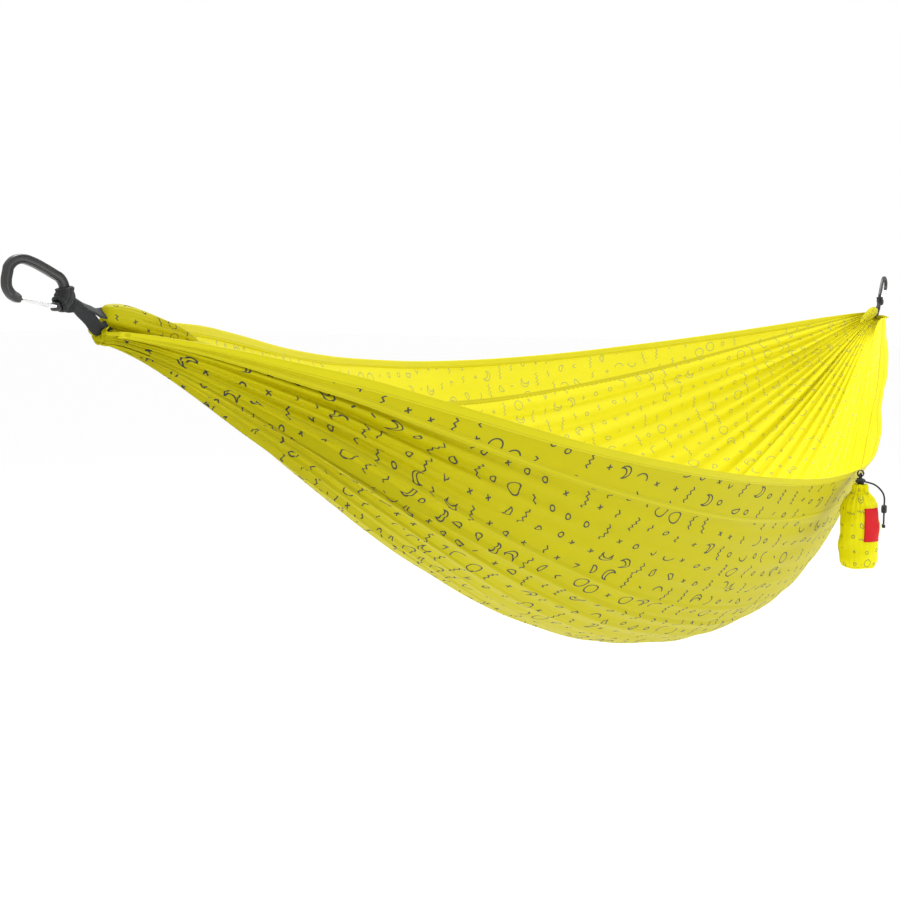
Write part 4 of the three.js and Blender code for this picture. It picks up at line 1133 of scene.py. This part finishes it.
nl = np.stack([np.broadcast_to(np.cos(al)[None], R_.shape), np.broadcast_to(np.sin(al)[None], R_.shape), 0 * R_], -1)
uv = np.stack(np.broadcast_arrays((zt - zl)[:, None], ((al - al[0]) * 0.034)[None]), -1)
o = shell_piece("stuff_sack_label", Pl, nl, uv, 0.0008, [m_label], 0, 0)
face_out(o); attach(o, "stuff_sack"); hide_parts("sack_label")

# sewn loop on the hem
rg = []
nL = 72
for i in range(nL):
    t = i / nL * 2 * math.pi
    c = PIV + np.array([0, 0.0050 * math.cos(t), 0.0002 + 0.0056 * math.sin(t)])
    rad = np.array([0, math.cos(t), math.sin(t)])
    rg.append(superring(c, rad, np.array([1.0, 0, 0]), 0.0008, 0.0042, 20, 3))
rings = np.array(rg)
F = grid_faces(nL, 20, wrap=True)
F = np.concatenate([F, np.array([[(nL - 1) * 20 + j, (nL - 1) * 20 + (j + 1) % 20, (j + 1) % 20, j] for j in range(20)])])
uvt = np.stack(np.broadcast_arrays((np.arange(nL) / nL * 0.035)[:, None], (np.arange(20) / 20 * 0.011)[None]), -1).reshape(-1, 2)
o = new_mesh("hem_loop", rings.reshape(-1, 3), F, uvt, None, [m_web]); face_out(o)
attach(o, "bed"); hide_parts("sack_tab")

# cord loop through it, and the knot
pts = PIV + np.array([(-3.4, 0, -10.0), (-5.1, 0, -5.0), (-4.8, 0, -2.4), (-2.3, 0, -0.3), (0, 0, 0), (2.3, 0, -0.3), (4.8, 0, -2.4), (5.1, 0, -5.0), (3.4, 0, -10.0)]) / 1000
o = tube_line("hang_loop_cord", smooth_line(pts, 90), 0.0015, 14, [m_cord], uv_scale=(1, 1), up=(0, 1, 0))
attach(o, "stuff_sack"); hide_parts("hang_loop")
# overhand knot: a trefoil of the same cord, pulled tight
t = np.linspace(0, 2 * math.pi, 240, endpoint=False)
kx = (np.sin(t) + 2 * np.sin(2 * t)) / 3; ky = (np.cos(t) - 2 * np.cos(2 * t)) / 3; kz = -np.sin(3 * t)
line = PIV + np.stack([kx * 0.0080, kz * 0.0050, -0.0128 + ky * 0.0044], -1)
T, A, B = frames_along(np.vstack([line, line[:1]]), up=(0, 1, 0))
tt = np.arange(14) / 14 * 2 * math.pi
rings = np.array([line[i] + 0.0023 * (np.cos(tt)[:, None] * A[i] + np.sin(tt)[:, None] * B[i]) for i in range(len(line))])
R, Cc = rings.shape[:2]
F = grid_faces(R, Cc, wrap=True)
# close the ring with the turn that gives the shortest edges
last, first = rings[-1], rings[0]
shift = int(np.argmin([np.linalg.norm(last - np.roll(first, -k, axis=0), axis=1).sum() for k in range(Cc)]))
F = np.concatenate([F, np.array([[(R - 1) * Cc + j, (R - 1) * Cc + (j + 1) % Cc, (j + 1 + shift) % Cc, (j + shift) % Cc] for j in range(Cc)])])
Lk = np.concatenate([[0], np.cumsum(np.linalg.norm(np.diff(line, axis=0), axis=1))])
uvk = np.stack(np.broadcast_arrays(Lk[:, None], (np.arange(Cc) / Cc)[None]), -1).reshape(-1, 2)
o = new_mesh("hang_knot_cord", rings.reshape(-1, 3), F, uvk, None, [m_cord]); face_out(o)
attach(o, "stuff_sack"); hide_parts("hang_knot")

# drawcord tail, with its lock and end knot
CY, LOCK_Z = -41.5, -58.0
cord_pts = PIV + np.array([(0, -8.0, -13.6), (0, -15, -14.8), (0, -24, -17.4), (0, -33, -23.8), (0, -39.5, -32.5), (0, CY, -41), (0, CY, -50), (0, CY, -60), (0, CY, -72), (0, CY, -83.5)]) / 1000
cl = smooth_line(cord_pts, 120)
cord_o = tube_line("drawcord_tail", cl, 0.0015, 16, [m_cord], up=(1, 0, 0))
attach(cord_o, "stuff_sack"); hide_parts("drawcord")
# end knot: small barrel of wound cord
t = np.linspace(0, 1, 120)
kn = PIV + np.stack([0.0017 * np.cos(t * 3.2 * 6.283), CY / 1000 + 0.0017 * np.sin(t * 3.2 * 6.283), -0.0848 - 0.0050 * t], -1)
rk = 0.0014 * np.ones(120); rk[0] = rk[-1] = 0.0008
knot_o = tube_line("drawcord_end_knot", kn, rk, 12, [m_cord], up=(1, 0, 0))
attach(knot_o, "stuff_sack"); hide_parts("tail_knot")

for node in ("cord_lock_barrel", "cord_lock_button"):
    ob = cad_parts[node]; ob.data.materials.clear(); ob.data.materials.append(m_lock)
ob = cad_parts["cord_lock_spring"]; ob.data.materials.clear(); ob.data.materials.append(m_spring)

# ------------------------------------------------------ floor and lighting
def plain(name, c, rough=0.9):
    m, t, p, out = principled(name)
    p.inputs["Base Color"].default_value = c; p.inputs["Roughness"].default_value = rough
    return m


bpy.ops.mesh.primitive_plane_add(size=60, location=(1.5, 0, -1.30))
floor = bpy.context.object; floor.name = "floor"; floor.data.materials.append(plain("floor_pale", (0.985, 0.985, 0.985, 1)))

w = bpy.data.worlds.new("world"); bpy.context.scene.world = w; w.use_nodes = True
w.node_tree.nodes["Background"].inputs[0].default_value = (1, 1, 1, 1)
w.node_tree.nodes["Background"].inputs[1].default_value = 1.0


def area(name, loc, target, size, power, size_y=None, color=(1, 1, 1)):
    l = bpy.data.lights.new(name, "AREA"); l.energy = power; l.size = size; l.color = color
    if size_y:
        l.shape = "RECTANGLE"; l.size_y = size_y
    o = bpy.data.objects.new(name, l); bpy.context.scene.collection.objects.link(o)
    o.location = loc
    o.rotation_mode = "QUATERNION"
    o.rotation_quaternion = (Vector(target) - Vector(loc)).to_track_quat("-Z", "Y")
    return o


area("key_top", (2.2, 1.3, 2.8), (1.7, 0.0, -0.3), 2.4, 120, 2.4)
area("fill_right", (3.6, -2.6, 0.9), (2.1, -0.2, -0.4), 1.6, 26, 1.6)

vs = bpy.context.scene.view_settings
vs.view_transform = "Standard"; vs.look = "None"; vs.exposure = 0.0; vs.gamma = 1.0
